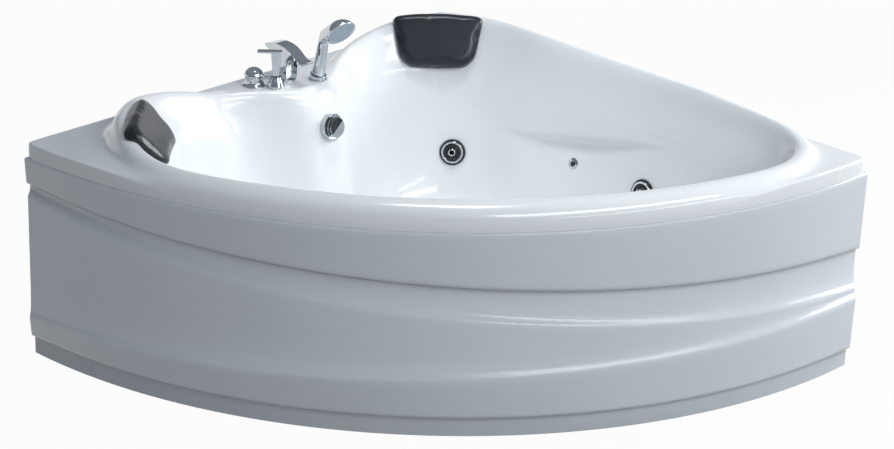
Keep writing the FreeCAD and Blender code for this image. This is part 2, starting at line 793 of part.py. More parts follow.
def base_board():
    """Board bonded under the basin's floor, with room for the drain."""
    corners = [centre + heading(turn) * between(rim, turn) * BOARD_REACH_SHARE for turn in range(0, 360, 12)]
    edge = Part.BSplineCurve()
    edge.interpolate(corners, True)
    board = Part.Face(Part.Wire([edge.toShape()])).extrude(up * BOARD_THICKNESS)
    board.translate(up * rail_top)
    room = DRAIN_FLANGE_RADIUS + OVERRUN
    low = Vector(DRAIN_PLACE.x, DRAIN_PLACE.y, rail_top - OVERRUN)
    return board.cut(rod(room, low, low + up * (BOARD_THICKNESS + OVERRUN + OVERRUN)))


# Skirt and plinth


def bowed(left, middle, right, share):
    """Smooth line through a left, middle and right value; the share runs from -1 to 1."""
    return middle + share * (right - left) / 2 + share * share * ((right + left) / 2 - middle)


def skirt_section(share):
    """Outer face of the skirt at one station, top to bottom, as (set-back, height) pairs."""
    upper = bowed(UPPER_LINE_LEFT, UPPER_LINE_MIDDLE, UPPER_LINE_RIGHT, share)
    middle = bowed(MIDDLE_LINE_LEFT, MIDDLE_LINE_MIDDLE, MIDDLE_LINE_RIGHT, share)
    lower = bowed(LOWER_LINE_LEFT, LOWER_LINE_MIDDLE, LOWER_LINE_RIGHT, share)
    band = SKIRT_BAND_TAPER
    sunk = band + UPPER_STEP
    belly = sunk - MIDDLE_STEP
    foot = belly - LOWER_STEP
    return [
        (SKIRT_FLANGE, SKIRT_TOP),
        (SKIRT_FLANGE - SKIRT_WALL, SKIRT_TOP),
        (SKIRT_NOSE, SKIRT_TOP),
        (0, SKIRT_TOP),
        (0, SKIRT_TOP - SKIRT_NOSE),
        (band / 2, (SKIRT_TOP + upper) / 2),
        (band, upper + STEP_HEIGHT),
        (band, upper),
        (sunk, upper - UNDER_STEP_HEIGHT),
        (sunk, upper - UNDER_STEP_HEIGHT - STEP_HEIGHT),
        (sunk, middle + WAVE_HEIGHT),
        (belly, middle),
        (belly, middle - WAVE_HEIGHT),
        (belly, (middle + lower) / 2),
        (belly, lower + WAVE_HEIGHT),
        (foot, lower),
        (foot, lower - WAVE_HEIGHT),
        (foot + band / 2, (lower + SKIRT_BOTTOM) / 2),
        (foot + band, SKIRT_BOTTOM + SKIRT_FOOT_ROUND),
        (foot + band, SKIRT_BOTTOM),
        (foot + band + SKIRT_FOOT_ROUND, SKIRT_BOTTOM),
        (SKIRT_RETURN, SKIRT_BOTTOM)]


def set_in(line, wall):
    """The section's inner face: each point moved in by the wall, square to its neighbours."""
    inner = []
    for before, point, after in zip(line[:1] + line, line, line[1:] + line[-1:]):
        run = Vector(after[0] - before[0], after[1] - before[1], 0).normalize()
        inner.append((point[0] - run.y * wall, point[1] + run.x * wall))
    return inner


def front_skirt():
    """Curved moulded panel with three wave lines, a top flange and a bottom return."""
    end_turn = 45 + math.degrees(math.asin((half - SKIRT_END_GAP - arc_centre) / FRONT_RADIUS))
    net = []
    for station in range(SKIRT_STATIONS):
        share = 2 * station / (SKIRT_STATIONS - 1) - 1
        outer = skirt_section(share)
        ring = outer + set_in(outer, SKIRT_WALL)[::-1]
        out = heading(225 + share * end_turn)
        net.append([hub + out * (FRONT_RADIUS - back) + up * height for back, height in ring])
    skin = spline_net(net, False, True).toShape()
    ends = [edge for edge in skin.Edges if edge.isClosed()]
    return sewn([skin] + [Part.Face(Part.Wire([edge])) for edge in ends])


def arc_strip(outer, inner, low, high, half_turn):
    """Upright curved strip along the front arc."""
    def edge(radius, first, last):
        return Part.Arc(
            hub + heading(first) * radius, hub + heading(225) * radius, hub + heading(last) * radius).toShape()

    first = 225 - half_turn
    last = 225 + half_turn
    face = Part.Face(Part.Wire([
        edge(outer, first, last),
        Part.LineSegment(hub + heading(last) * outer, hub + heading(last) * inner).toShape(),
        edge(inner, last, first),
        Part.LineSegment(hub + heading(first) * inner, hub + heading(first) * outer).toShape()]))
    strip = face.extrude(up * (high - low))
    strip.translate(up * low)
    return strip


def plinth_strip():
    """Kick strip set back under the skirt."""
    outer = FRONT_RADIUS - PLINTH_SETBACK
    half_turn = 45 + math.degrees(math.asin((half - SKIRT_END_GAP - arc_centre) / outer))
    return arc_strip(outer, outer - PLINTH_THICKNESS, 0, SKIRT_BOTTOM - FIT, half_turn)


# Frame and feet


def bar(low_x, high_x, low_y, high_y, low_z, high_z):
    """Straight tube length along the axes, as a box."""
    return Part.makeBox(high_x - low_x, high_y - low_y, high_z - low_z, Vector(low_x, low_y, low_z))


front_rail_radius = FRONT_RADIUS - FRONT_RAIL_INSET
frame_end = (hub + heading(225 + FRONT_RAIL_TURNS[0]) * front_rail_radius).x - TUBE


def wall_rails():
    """Base rails along the two walls."""
    inner = frame_face - TUBE
    return Part.makeCompound([
        bar(frame_end, frame_face, inner, frame_face, rail_foot, rail_top),
        bar(inner, frame_face, frame_end, inner, rail_foot, rail_top)])


def front_rail():
    """Base rail bent to follow the skirt, ending against the wall rails."""
    outer = [hub + heading(225 + turn) * (front_rail_radius + TUBE / 2) for turn in FRONT_RAIL_TURNS]
    inner = [hub + heading(225 + turn) * (front_rail_radius - TUBE / 2) for turn in FRONT_RAIL_TURNS]
    loop = outer + inner[::-1] + outer[:1]
    rail = Part.Face(Part.makePolygon(loop)).extrude(up * TUBE)
    rail.translate(up * rail_foot)
    limit = frame_face - TUBE
    return rail.common(bar(-SIDE, limit, -SIDE, limit, 0, DECK_HEIGHT))


def cross_rails():
    """Two rails under the board, square to the tub's line of symmetry."""
    limit = frame_face - TUBE
    shift = TUBE / math.sqrt(2)
    rails = []
    for total in (FRONT_CROSS_RAIL, BACK_CROSS_RAIL):
        end = total - limit
        corners = [
            Vector(end - shift, limit, rail_foot), Vector(end + shift, limit, rail_foot),
            Vector(limit, end + shift, rail_foot), Vector(limit, end - shift, rail_foot)]
        rails.append(Part.Face(Part.makePolygon(corners + corners[:1])).extrude(up * TUBE))
    return Part.makeCompound(rails)


def front_posts():
    """Middles of the uprights on the front rail."""
    return [hub + heading(225 + turn) * front_rail_radius for turn in FRONT_UPRIGHT_TURNS]


def wall_posts():
    """Middles of the uprights on the wall rails."""
    line = frame_face - TUBE / 2
    end = frame_end + END_POST_INSET
    middle = BASIN_CENTRE - half / 2
    return [
        Vector(end, line, 0), Vector(middle, line, 0), Vector(line, line, 0),
        Vector(line, middle, 0), Vector(line, end, 0)]


def uprights():
    """Square posts from the base rails to the top rails and to the skirt's flange."""
    rail_height = deck_underside - TOP_RAIL_GAP - TUBE
    posts = [
        bar(at.x - TUBE / 2, at.x + TUBE / 2, at.y - TUBE / 2, at.y + TUBE / 2, rail_top, rail_height)
        for at in wall_posts()]
    for at, turn in zip(front_posts(), FRONT_UPRIGHT_TURNS):
        post = Part.makeBox(TUBE, TUBE, SKIRT_TOP - SKIRT_WALL - FIT - rail_top, Vector(-TUBE / 2, -TUBE / 2, 0))
        posts.append(stood(post, at + up * rail_top, up, heading(225 + turn)))
    return Part.makeCompound(posts)


def top_rails():
    """Rails under the deck along the two walls."""
    inner = frame_face - TUBE
    high = deck_underside - TOP_RAIL_GAP
    return Part.makeCompound([
        bar(frame_end, frame_face, inner, frame_face, high - TUBE, high),
        bar(inner, frame_face, frame_end, inner, high - TUBE, high)])


def skirt_brackets():
    """Bent plates from the front rail's face down to the skirt's bottom return."""
    foot = SKIRT_BOTTOM + SKIRT_WALL + FIT
    pieces = []
    for turn in BRACKET_TURNS:
        reach = flat_reach(turn) + TUBE / 2
        tip = FRONT_RADIUS - SKIRT_RETURN + SKIRT_WALL
        side = [
            Vector(reach, 0, rail_top), Vector(reach + BRACKET_PLATE, 0, rail_top),
            Vector(reach + BRACKET_PLATE, 0, foot + BRACKET_PLATE), Vector(tip, 0, foot + BRACKET_PLATE),
            Vector(tip, 0, foot), Vector(reach, 0, foot)]
        plate = Part.Face(Part.makePolygon(side + side[:1])).extrude(Vector(0, BRACKET_WIDTH, 0))
        plate.translate(Vector(0, -BRACKET_WIDTH / 2, 0))
        pieces.append(stood(plate, hub, up, heading(225 + turn)))
    return Part.makeCompound(pieces).cut(front_rail())


def flat_reach(turn):
    """Distance from the arc's centre to the front rail's middle line at a turn from the front."""
    for start, end in zip(FRONT_RAIL_TURNS, FRONT_RAIL_TURNS[1:]):
        if start <= turn <= end:
            bisector = (start + end) / 2
            chord = front_rail_radius * math.cos(math.radians((end - start) / 2))
            return chord / math.cos(math.radians(turn - bisector))
    return front_rail_radius


def foot_places():
    """Where the adjustable feet stand: under each upright."""
    return [Vector(at.x, at.y, 0) for at in wall_posts() + front_posts()]


def foot_studs():
    """Threaded rods from the pads to the rails."""
    socket = PAD_HEIGHT / 2
    return Part.makeCompound([rod(STUD_RADIUS, at + up * socket, at + up * rail_foot) for at in foot_places()])


def foot_nuts():
    """Lock nuts under the rails."""
    nut = hexagon(NUT_RADIUS, NUT_HEIGHT).cut(
        tube(STUD_RADIUS, 0, -OVERRUN, NUT_HEIGHT + OVERRUN))
    return Part.makeCompound([
        stood(nut, at + up * (rail_foot - NUT_HEIGHT), up, heading(0)) for at in foot_places()])


def foot_pads():
    """Moulded pads with a socket for the stud."""
    socket = PAD_HEIGHT / 2
    crown = PAD_RADIUS * PAD_CROWN_SHARE
    pad = revolved([
        (0, 0), (PAD_RADIUS, 0), (PAD_RADIUS, socket), (crown, PAD_HEIGHT),
        (STUD_RADIUS, PAD_HEIGHT), (STUD_RADIUS, socket), (0, socket)])
    return Part.makeCompound([stood(pad, at, up, heading(0)) for at in foot_places()])


# Headrests


def pad_half_width(down):
    """Half a headrest's width at a share of its length, with rounded corners at both ends."""
    half_width = (HEADREST_TOP_WIDTH + (HEADREST_FOOT_WIDTH - HEADREST_TOP_WIDTH) * down) / 2
    half_width -= HEADREST_WAIST * math.sin(math.pi * down)
    for corner, away in ((HEADREST_TOP_CORNER, down), (HEADREST_FOOT_CORNER, 1 - down)):
        short = max(corner - away * HEADREST_LENGTH, 0)
        half_width -= corner - math.sqrt(corner ** 2 - short ** 2)
    return half_width


def pad_spot(degrees, down, across):
    """Place and outward normal on the skin under a headrest, from behind the crest down the wall."""
    around = around_at(degrees, basin.bounds()[2] + wall_rows)
    section = basin.uIso(around)
    over = HEADREST_OVER - HEADREST_TOP_DIP * (1 - across ** 2)
    start = section.parameterAtDistance(over, crest_at(around))
    along = section.parameterAtDistance(-down * HEADREST_LENGTH, start)
    outward = basin.normal(around, along)
    if outward.z < 0:
        outward = outward * -1
    return basin.value(around, along), outward


def headrest(turn):
    """Padded rest hung over the rim: crowned front, drawn-in sides, back along the shell."""
    side = heading(turn + 90)
    front = []
    back = []
    skin = []
    for row in range(HEADREST_DOWN):
        down = row / (HEADREST_DOWN - 1)
        middle, _ = pad_spot(turn, down, 0)
        front_line = []
        back_line = []
        skin_line = []
        for column in range(HEADREST_ACROSS):
            across = 2 * column / (HEADREST_ACROSS - 1) - 1
            spot = middle + side * (across * pad_half_width(down))
            place, normal = pad_spot(direction(spot), down, across)
            border = min(row, HEADREST_DOWN - 1 - row, column, HEADREST_ACROSS - 1 - column)
            swell = math.sin(math.pi * down) ** HEADREST_CROWN_POWER_SHARE
            swell *= 1 - abs(across) ** HEADREST_SIDE_POWER_SHARE
            rise = HEADREST_EDGE + (HEADREST_THICKNESS - HEADREST_EDGE) * swell
            skin_line.append(place + normal * HEADREST_CLEARANCE)
            if border == 0:
                seam = place + normal * (HEADREST_CLEARANCE + HEADREST_EDGE / 2)
                front_line.append(seam)
                back_line.append(seam)
            else:
                front_line.append(place + normal * (HEADREST_CLEARANCE + rise))
                back_line.append(skin_line[-1])
        front.append(front_line)
        back.append(back_line)
        skin.append(skin_line)
    # inner poles of the back moved so that the face itself, not its net, follows the skin
    for row in range(1, HEADREST_DOWN - 1):
        for column in range(1, HEADREST_ACROSS - 1):
            spot = skin[row][column]
            near = skin[row - 1][column] + skin[row + 1][column] + skin[row][column - 1] + skin[row][column + 1]
            back[row][column] = spot - (near - spot * 4) / 6
    return sewn([spline_net(front, False, False).toShape(), spline_net(back, False, False).toShape()])


# Deck taps


def shank(bore):
    """Threaded shank below a tap's flange, hollow where asked, with its top at the deck."""
    return tube(SHANK_RADIUS, bore, -SHANK_LENGTH, 0)


def tap_nuts():
    """Back nuts under the deck, one for each tap."""
    nut = hexagon(TAP_NUT_RADIUS, TAP_NUT_HEIGHT).cut(
        tube(SHANK_RADIUS + FIT, 0, -OVERRUN, TAP_NUT_HEIGHT + OVERRUN))
    return Part.makeCompound([
        stood(nut, place - up * (SHELL_WALL + FIT + FIT + TAP_NUT_HEIGHT), up, heading(0)) for place in tap_places])


def mixer_body():
    """Mixer cartridge housing: flange and spindle above the deck, chamber and two inlet tails below."""
    chamber_top = -SHANK_LENGTH
    chamber_foot = chamber_top - MIXER_CHAMBER_HEIGHT
    body = tube(CONE_FOOT_RADIUS, 0, 0, TAP_FLANGE)
    body = body.fuse(tube(SPINDLE_RADIUS, 0, TAP_FLANGE, TAP_FLANGE + CONE_BORE_DEPTH - FIT))
    body = body.fuse(shank(0))
    body = body.fuse(tube(MIXER_CHAMBER_RADIUS, 0, chamber_foot, chamber_top))
    for sign in (-1, 1):
        tail = tube(TAIL_RADIUS, 0, chamber_foot - TAIL_LENGTH, chamber_foot)
        tail.translate(Vector(sign * TAIL_SPACING / 2, 0, 0))
        body = body.fuse(tail)
    return stood(body.removeSplitter(), MIXER_PLACE, up, heading(0))


def mixer_cap():
    """Cone that turns on the spindle, slotted at the top for the lever's tongue."""
    foot = TAP_FLANGE + FIT
    cone = revolved([
        (0, foot), (CONE_FOOT_RADIUS, foot), (CONE_FOOT_RADIUS, foot + TAP_FLANGE),
        (CONE_TOP_RADIUS, CONE_HEIGHT), (0, CONE_HEIGHT)])
    bore = tube(SPINDLE_RADIUS + FIT, 0, 0, TAP_FLANGE + CONE_BORE_DEPTH)
    wide = LEVER_TONGUE / 2 + FIT
    slot_floor = LEVER_PIN_HEIGHT - LEVER_FOOT_WIDTH / 2 - SLOT_FLOOR_GAP
    slot = bar(-CONE_FOOT_RADIUS, CONE_FOOT_RADIUS, -wide, wide, slot_floor, CONE_HEIGHT + OVERRUN)
    reach = Vector(0, CONE_FOOT_RADIUS, LEVER_PIN_HEIGHT)
    pin_hole = rod(LEVER_PIN_RADIUS, Vector(0, -reach.y, reach.z), reach)
    return stood(cone.cut([bore, slot, pin_hole]), MIXER_PLACE, up, heading(LEVER_TURN))


def mixer_pin():
    """Pin that the lever tilts on, pressed into the cone's cheeks."""
    reach = CONE_TOP_RADIUS
    pin = rod(LEVER_PIN_RADIUS, Vector(0, -reach, LEVER_PIN_HEIGHT), Vector(0, reach, LEVER_PIN_HEIGHT))
    return stood(pin, MIXER_PLACE, up, heading(LEVER_TURN))


def mixer_lever():
    """T-shaped lever: tongue on the pin, post that widens upwards, flat plate on top."""
    thick = LEVER_TONGUE / 2
    radius = LEVER_FOOT_WIDTH / 2
    plate_foot = LEVER_HEIGHT - LEVER_PLATE_THICKNESS
    side = [
        Vector(-radius, -thick, LEVER_PIN_HEIGHT), Vector(radius, -thick, LEVER_PIN_HEIGHT),
        Vector(LEVER_HEAD_WIDTH / 2, -thick, plate_foot), Vector(-LEVER_HEAD_WIDTH / 2, -thick, plate_foot)]
    post = Part.Face(Part.makePolygon(side + side[:1])).extrude(Vector(0, LEVER_TONGUE, 0))
    foot = rod(radius, Vector(0, -thick, LEVER_PIN_HEIGHT), Vector(0, thick, LEVER_PIN_HEIGHT))
    plate = bar(
        -LEVER_PLATE_BACK, LEVER_PLATE_REACH, -LEVER_PLATE_WIDTH / 2, LEVER_PLATE_WIDTH / 2,
        plate_foot, LEVER_HEIGHT)
    plate = plate.makeFillet(LEVER_PLATE_ROUND, plate.Edges)
    hole = LEVER_PIN_RADIUS + FIT
    reach = Vector(0, LEVER_TONGUE, LEVER_PIN_HEIGHT)
    lever = post.fuse([foot, plate]).removeSplitter().cut(rod(hole, Vector(0, -reach.y, reach.z), reach))
    return stood(lever, MIXER_PLACE, up, heading(LEVER_TURN))


def diverter_body():
    """Diverter valve: flared flange and spindle above the deck, chamber below."""
    body = revolved([
        (0, 0), (DIVERTER_FLANGE_RADIUS, 0), (DIVERTER_FLANGE_RADIUS, TAP_FLANGE / 2),
        (KNOB_RADIUS, TAP_FLANGE + TAP_FLANGE), (0, TAP_FLANGE + TAP_FLANGE)])
    spindle_top = TAP_FLANGE + TAP_FLANGE + KNOB_BORE_DEPTH - FIT
    body = body.fuse([
        tube(SPINDLE_RADIUS, 0, TAP_FLANGE, spindle_top), shank(0),
        tube(DIVERTER_CHAMBER_RADIUS, 0, -SHANK_LENGTH - MIXER_CHAMBER_HEIGHT, -SHANK_LENGTH)])
    return stood(body.removeSplitter(), DIVERTER_PLACE, up, heading(0))


def diverter_knob():
    """Domed knob that turns on the spindle, with a side pin to turn it by."""
    foot = TAP_FLANGE + TAP_FLANGE + FIT
    shoulder = KNOB_HEIGHT - KNOB_DOME
    knob = revolved([
        (0, foot), (KNOB_RADIUS, foot), (KNOB_WAIST_RADIUS, (foot + shoulder) / 2, KNOB_RADIUS, shoulder),
        dome_step(KNOB_RADIUS, shoulder, KNOB_HEIGHT)])
    pin = rod(KNOB_PIN_RADIUS, Vector(0, 0, KNOB_PIN_HEIGHT), Vector(KNOB_PIN_REACH, 0, KNOB_PIN_HEIGHT))
    tip = Part.makeSphere(KNOB_PIN_RADIUS, Vector(KNOB_PIN_REACH, 0, KNOB_PIN_HEIGHT))
    bore = tube(SPINDLE_RADIUS + FIT, 0, foot - OVERRUN, TAP_FLANGE + TAP_FLANGE + KNOB_BORE_DEPTH)
    knob = knob.fuse([pin, tip]).removeSplitter().cut(bore)
    return stood(knob, DIVERTER_PLACE, up, heading(KNOB_PIN_TURN))


def spout():
    """Waterfall spout: arched sheet on a column, with its flange and shank."""
    def spots(shares):
        return [Vector(0, along * SPOUT_LENGTH, rise * SPOUT_HEIGHT) for along, rise in shares]

    foot = SPOUT_FOOT_SHARE * SPOUT_LENGTH
    def curve(points):
        line = Part.BSplineCurve()
        line.interpolate(points)
        return line

    back = curve([Vector(0, foot, 0)] + spots(SPOUT_BACK_SHARES))
    over = curve(spots(SPOUT_TOP_SHARES))
    under = curve(spots(SPOUT_UNDER_SHARES) + [Vector(0, -foot, 0)])
    tip = Part.LineSegment(back.EndPoint, over.StartPoint)
    nose = Part.LineSegment(over.EndPoint, under.StartPoint)
    sole = Part.LineSegment(under.EndPoint, back.StartPoint)
    side = Part.Face(Part.Wire([line.toShape() for line in (back, tip, over, nose, under, sole)]))
    sheet = side.extrude(Vector(SPOUT_WIDTH, 0, 0))
    sheet.translate(Vector(-SPOUT_WIDTH / 2, 0, 0))
    flange = tube(SPOUT_FLANGE_RADIUS, 0, 0, TAP_FLANGE)
    whole = sheet.fuse([flange, shank(0)]).removeSplitter()
    bore = tube(SPOUT_BORE_RADIUS, 0, -SHANK_LENGTH - OVERRUN, -TAP_FLANGE)
    return stood(whole.cut(bore), SPOUT_PLACE, up, heading(0))


def shower_axis():
    """Direction that the hand shower leans and pulls out along."""
    lean = math.radians(SHOWER_LEAN)
    return heading(SHOWER_LEAN_TURN) * math.sin(lean) + up * math.cos(lean)


def shower_frame():
    """Where the handle seats on its holder, with the shower's axis and level side direction."""
    axis = shower_axis()
    return SHOWER_PLACE + axis * HOLDER_HEIGHT, axis, up.cross(axis).normalize()


def shower_holder():
    """Leaning socket on the deck that the hand shower stands in, bored for the hose."""
    seat, axis, side = shower_frame()
    socket = stood(tube(HOLDER_RADIUS, 0, -HOLDER_HEIGHT - HOLDER_RADIUS, 0), seat, axis, side)
    socket = socket.common(stood(tube(SIDE, 0, 0, SIDE), SHOWER_PLACE, up, heading(0)))
    foot = stood(tube(HOLDER_RADIUS + TAP_FLANGE, 0, 0, TAP_FLANGE).fuse(shank(0)), SHOWER_PLACE, up, heading(0))
    plug_bore = tube(HANDLE_PLUG_RADIUS + HANDLE_GAP, 0, -HANDLE_PLUG_LENGTH - HANDLE_GAP, OVERRUN)
    hose_bore = tube(HOSE_BORE_RADIUS, 0, -SHANK_LENGTH - OVERRUN, -HANDLE_PLUG_RADIUS)
    return socket.fuse(foot).removeSplitter().cut([
        stood(plug_bore, seat, axis, side), stood(hose_bore, SHOWER_PLACE, up, heading(0))])


def shower_handle():
    """Tapered handle with the plug that seats in the holder."""
    seat, axis, side = shower_frame()
    start = HANDLE_GAP
    handle = revolved([
        (0, -HANDLE_PLUG_LENGTH), (HANDLE_PLUG_RADIUS, -HANDLE_PLUG_LENGTH), (HANDLE_PLUG_RADIUS, start),
        (HANDLE_FOOT_RADIUS, start), (HANDLE_FOOT_RADIUS, start + HANDLE_PLUG_LENGTH),
        (HANDLE_NECK_RADIUS, HANDLE_LENGTH), (0, HANDLE_LENGTH)])
    elbow = seat + axis * HANDLE_LENGTH
    face, spray, _ = head_frame()
    neck = rod(HANDLE_NECK_RADIUS, elbow, face - spray * (SHOWER_HEAD_DEPTH / 2))
    joint = Part.makeSphere(HANDLE_NECK_RADIUS, elbow)
    whole = stood(handle, seat, axis, side).fuse([joint, neck]).removeSplitter()
    return whole.cut(shower_head_blank())


def head_frame():
    """Middle of the shower head's face, with its spray direction and level side direction."""
    seat, axis, _ = shower_frame()
    drop = math.radians(SHOWER_FACE_DROP)
    spray = heading(SHOWER_FACE_TURN) * math.cos(drop) - up * math.sin(drop)
    side = up.cross(spray).normalize()
    face = seat + axis * HANDLE_LENGTH + heading(SHOWER_FACE_TURN) * SHOWER_HEAD_AHEAD
    return face + side * SHOWER_HEAD_ASIDE + up * SHOWER_HEAD_RISE, spray, side


def shower_head_blank():
    """Domed back of the shower head, filled."""
    return stood(revolved([
        (0, 0), (SHOWER_HEAD_RADIUS, 0), (SHOWER_HEAD_RADIUS, -SHOWER_RIM),
        dome_step(SHOWER_HEAD_RADIUS, -SHOWER_RIM, -SHOWER_HEAD_DEPTH)]), *head_frame())


def shower_head():
    """Domed back of the shower head with a recess for the spray plate."""
    face, spray, side = head_frame()
    recess = tube(SHOWER_HEAD_RADIUS - SHOWER_RIM, 0, -SHOWER_RIM, OVERRUN)
    return shower_head_blank().cut(stood(recess, face, spray, side))


def shower_face():
    """Spray plate with rings of nozzle holes."""
    plate = tube(SHOWER_HEAD_RADIUS - SHOWER_RIM - FIT, 0, -SHOWER_RIM + FIT, -FIT)
    spacing = (SHOWER_HEAD_RADIUS - SHOWER_RIM) / (SPRAY_RINGS + 1)
    holes = []
    for ring in range(1, SPRAY_RINGS + 1):
        for hole in range(6 * ring):
            at = heading(60 * hole / ring) * (ring * spacing)
            holes.append(rod(SPRAY_HOLE_RADIUS, at - up * (FIT + SPRAY_HOLE_DEPTH), at + up * OVERRUN))
    return stood(plate.cut(holes), *head_frame())


# Wall jets


def jet_body(name):
    """Wall housing: flange in the basin, tube through the wall, water stub to the pipe and air stub up."""
    place, inward, side = jet_spots[name]
    body = revolved([
        (0, -JET_DEPTH), (JET_TUBE_RADIUS, -JET_DEPTH), (JET_TUBE_RADIUS, 0), (JET_FLANGE_RADIUS, 0),
        (JET_FLANGE_RADIUS, JET_FLANGE), (0, JET_FLANGE)])
    bore = tube(JET_BORE_RADIUS, 0, JET_END_WALL - JET_DEPTH, JET_FLANGE + OVERRUN)
    start = stub_point(name)
    stubs = [
        rod(JET_STUB_RADIUS, start, Vector(start.x, start.y, raised(RING_HEIGHT_SHARE))),
        rod(AIR_STUB_RADIUS, start, start + up * AIR_STUB_LENGTH)]
    whole = stood(body, place, inward, side).fuse(stubs).removeSplitter()
    return whole.cut([stood(bore, place, inward, side), ring_solid])


def stub_point(name):
    """Point on a jet's axis that its water stub drops from."""
    place, inward, _ = jet_spots[name]
    return place - inward * JET_STUB_DEPTH


def jet_face(name):
    """Round face that turns in the housing, with finger grips round its edge and the nozzle's seat."""
    low = JET_FLANGE + JET_FACE_GAP
    rim = low + JET_FACE_RIM
    crown = low + JET_FACE_DOME
    spigot = JET_BORE_RADIUS - JET_FACE_GAP
    opening = BALL_RADIUS + JET_FACE_GAP
    face = revolved([
        (0, -JET_FACE_SPIGOT), (spigot, -JET_FACE_SPIGOT), (spigot, low), (JET_FACE_RADIUS, low),
        (JET_FACE_RADIUS, rim), (opening, crown), (0, crown)])
    grips = []
    for grip in range(GRIP_COUNT):
        at = heading(360 * grip / GRIP_COUNT) * (JET_FACE_RADIUS + GRIP_RADIUS / 2)
        grips.append(rod(GRIP_RADIUS, at, at + up * (crown + OVERRUN)))
    seat = Part.makeSphere(opening, Vector(0, 0, crown - BALL_SINK))
    passage = tube(JET_FACE_PASSAGE, 0, -JET_FACE_SPIGOT - OVERRUN, 0)
    return stood(face.cut(grips + [seat, passage]), *jet_spots[name])


def jet_nozzle(name):
    """Ball nozzle held in the face, tilted to aim the jet."""
    middle = JET_FLANGE + JET_FACE_GAP + JET_FACE_DOME - BALL_SINK
    ball = Part.makeSphere(BALL_RADIUS, Vector(0, 0, middle))
    ball = ball.fuse(tube(NOZZLE_RADIUS, 0, middle, middle + NOZZLE_REACH)).removeSplitter()
    back = tube(SIDE, 0, -SIDE, middle - BALL_BACK)
    bore = tube(NOZZLE_BORE, 0, -JET_DEPTH, middle + NOZZLE_REACH + OVERRUN)
    return stood(ball.cut([back, bore]), *jet_spots[name])


def wall_nut(spot, inner, outer, height):
    """Ring nut behind the wall."""
    place, inward, side = spot
    nut = hexagon(outer, height).cut(tube(inner + FIT, 0, -OVERRUN, height + OVERRUN))
    return stood(nut, place - inward * (SHELL_WALL + FIT + height), inward, side)


def jet_nuts():
    """Back nuts of the hydro jets and the mini jets."""
    nuts = [wall_nut(jet_spots[name], JET_TUBE_RADIUS, JET_NUT_RADIUS, JET_NUT_HEIGHT) for name in JET_TURNS]
    nuts += [wall_nut(mini_spots[name], MINI_TUBE_RADIUS, MINI_NUT_RADIUS, MINI_NUT_HEIGHT)
             for name in MINI_JET_TURNS]
    return Part.makeCompound(nuts)


def mini_stub_point(name):
    """Point on a mini jet's axis that its water stub drops from."""
    place, inward, _ = mini_spots[name]
    return place - inward * JET_STUB_DEPTH


def mini_jet_bodies():
    """Small wall fittings with a water stub to the pipe."""
    bodies = []
    for name, (place, inward, side) in mini_spots.items():
        body = revolved([
            (0, -MINI_DEPTH), (MINI_TUBE_RADIUS, -MINI_DEPTH), (MINI_TUBE_RADIUS, 0), (MINI_FLANGE_RADIUS, 0),
            (MINI_FLANGE_RADIUS, MINI_FLANGE / 2), (MINI_CAP_RADIUS + MINI_FLANGE, MINI_FLANGE), (0, MINI_FLANGE)])
        body = body.cut(tube(MINI_CAP_RADIUS, 0, MINI_FLANGE - MINI_CAP_DEPTH, MINI_FLANGE + OVERRUN))
        start = mini_stub_point(name)
        stub = rod(MINI_STUB_RADIUS, start, Vector(start.x, start.y, raised(RING_HEIGHT_SHARE)))
        bodies.append(stood(body, place, inward, side).fuse(stub).removeSplitter().cut(ring_solid))
    return Part.makeCompound(bodies)


def mini_jet_caps():
    """Perforated caps pressed into the mini jets."""
    low = MINI_FLANGE - MINI_CAP_DEPTH
    cap = tube(MINI_CAP_RADIUS, 0, low, MINI_FLANGE + MINI_CAP_PROUD)
    holes = []
    for hole in range(MINI_CAP_HOLES):
        at = heading(360 * hole / MINI_CAP_HOLES) * (MINI_CAP_RADIUS / 2)
        holes.append(rod(MINI_HOLE_RADIUS, at, at + up * (MINI_FLANGE + MINI_CAP_PROUD + OVERRUN)))
    cap = cap.cut(holes)
    return Part.makeCompound([stood(cap, *spot) for spot in mini_spots.values()])


# Suction fitting, pipes and pump


def suction_drop():
    """Point on the suction fitting's axis that its pipe drops from."""
    place, inward, _ = suction_spot
    return place - inward * (SUCTION_DEPTH - PIPE_RADIUS)


def suction_body():
    """Suction fitting: wide flange in the basin, chamber behind the wall, open downwards to its pipe."""
    place, inward, side = suction_spot
    body = revolved([
        (0, -SUCTION_DEPTH), (SUCTION_TUBE_RADIUS, -SUCTION_DEPTH), (SUCTION_TUBE_RADIUS, 0),
        (SUCTION_FLANGE_RADIUS, 0), (SUCTION_FLANGE_RADIUS, SUCTION_FLANGE), (0, SUCTION_FLANGE)])
    bore = tube(SUCTION_BORE_RADIUS, 0, JET_END_WALL - SUCTION_DEPTH, SUCTION_FLANGE + OVERRUN)
    drop = suction_drop()
    outlet = rod(PIPE_RADIUS, drop, drop - up * (SUCTION_TUBE_RADIUS + SUCTION_FLANGE))
    way = rod(PIPE_RADIUS - PIPE_WALL, drop, drop - up * (SUCTION_TUBE_RADIUS + SUCTION_FLANGE + OVERRUN))
    return stood(body, place, inward, side).fuse(outlet).removeSplitter().cut([
        stood(bore, place, inward, side), way])


def dome_slots(radius, count, width, shares, height):
    """Cutters for slots set round a cover like spokes."""
    start, end = (share * radius for share in shares)
    slot = bar(start, end, -width / 2, width / 2, -height, height)
    return [stood(slot, Vector(), up, heading(360 * k / count)) for k in range(count)]


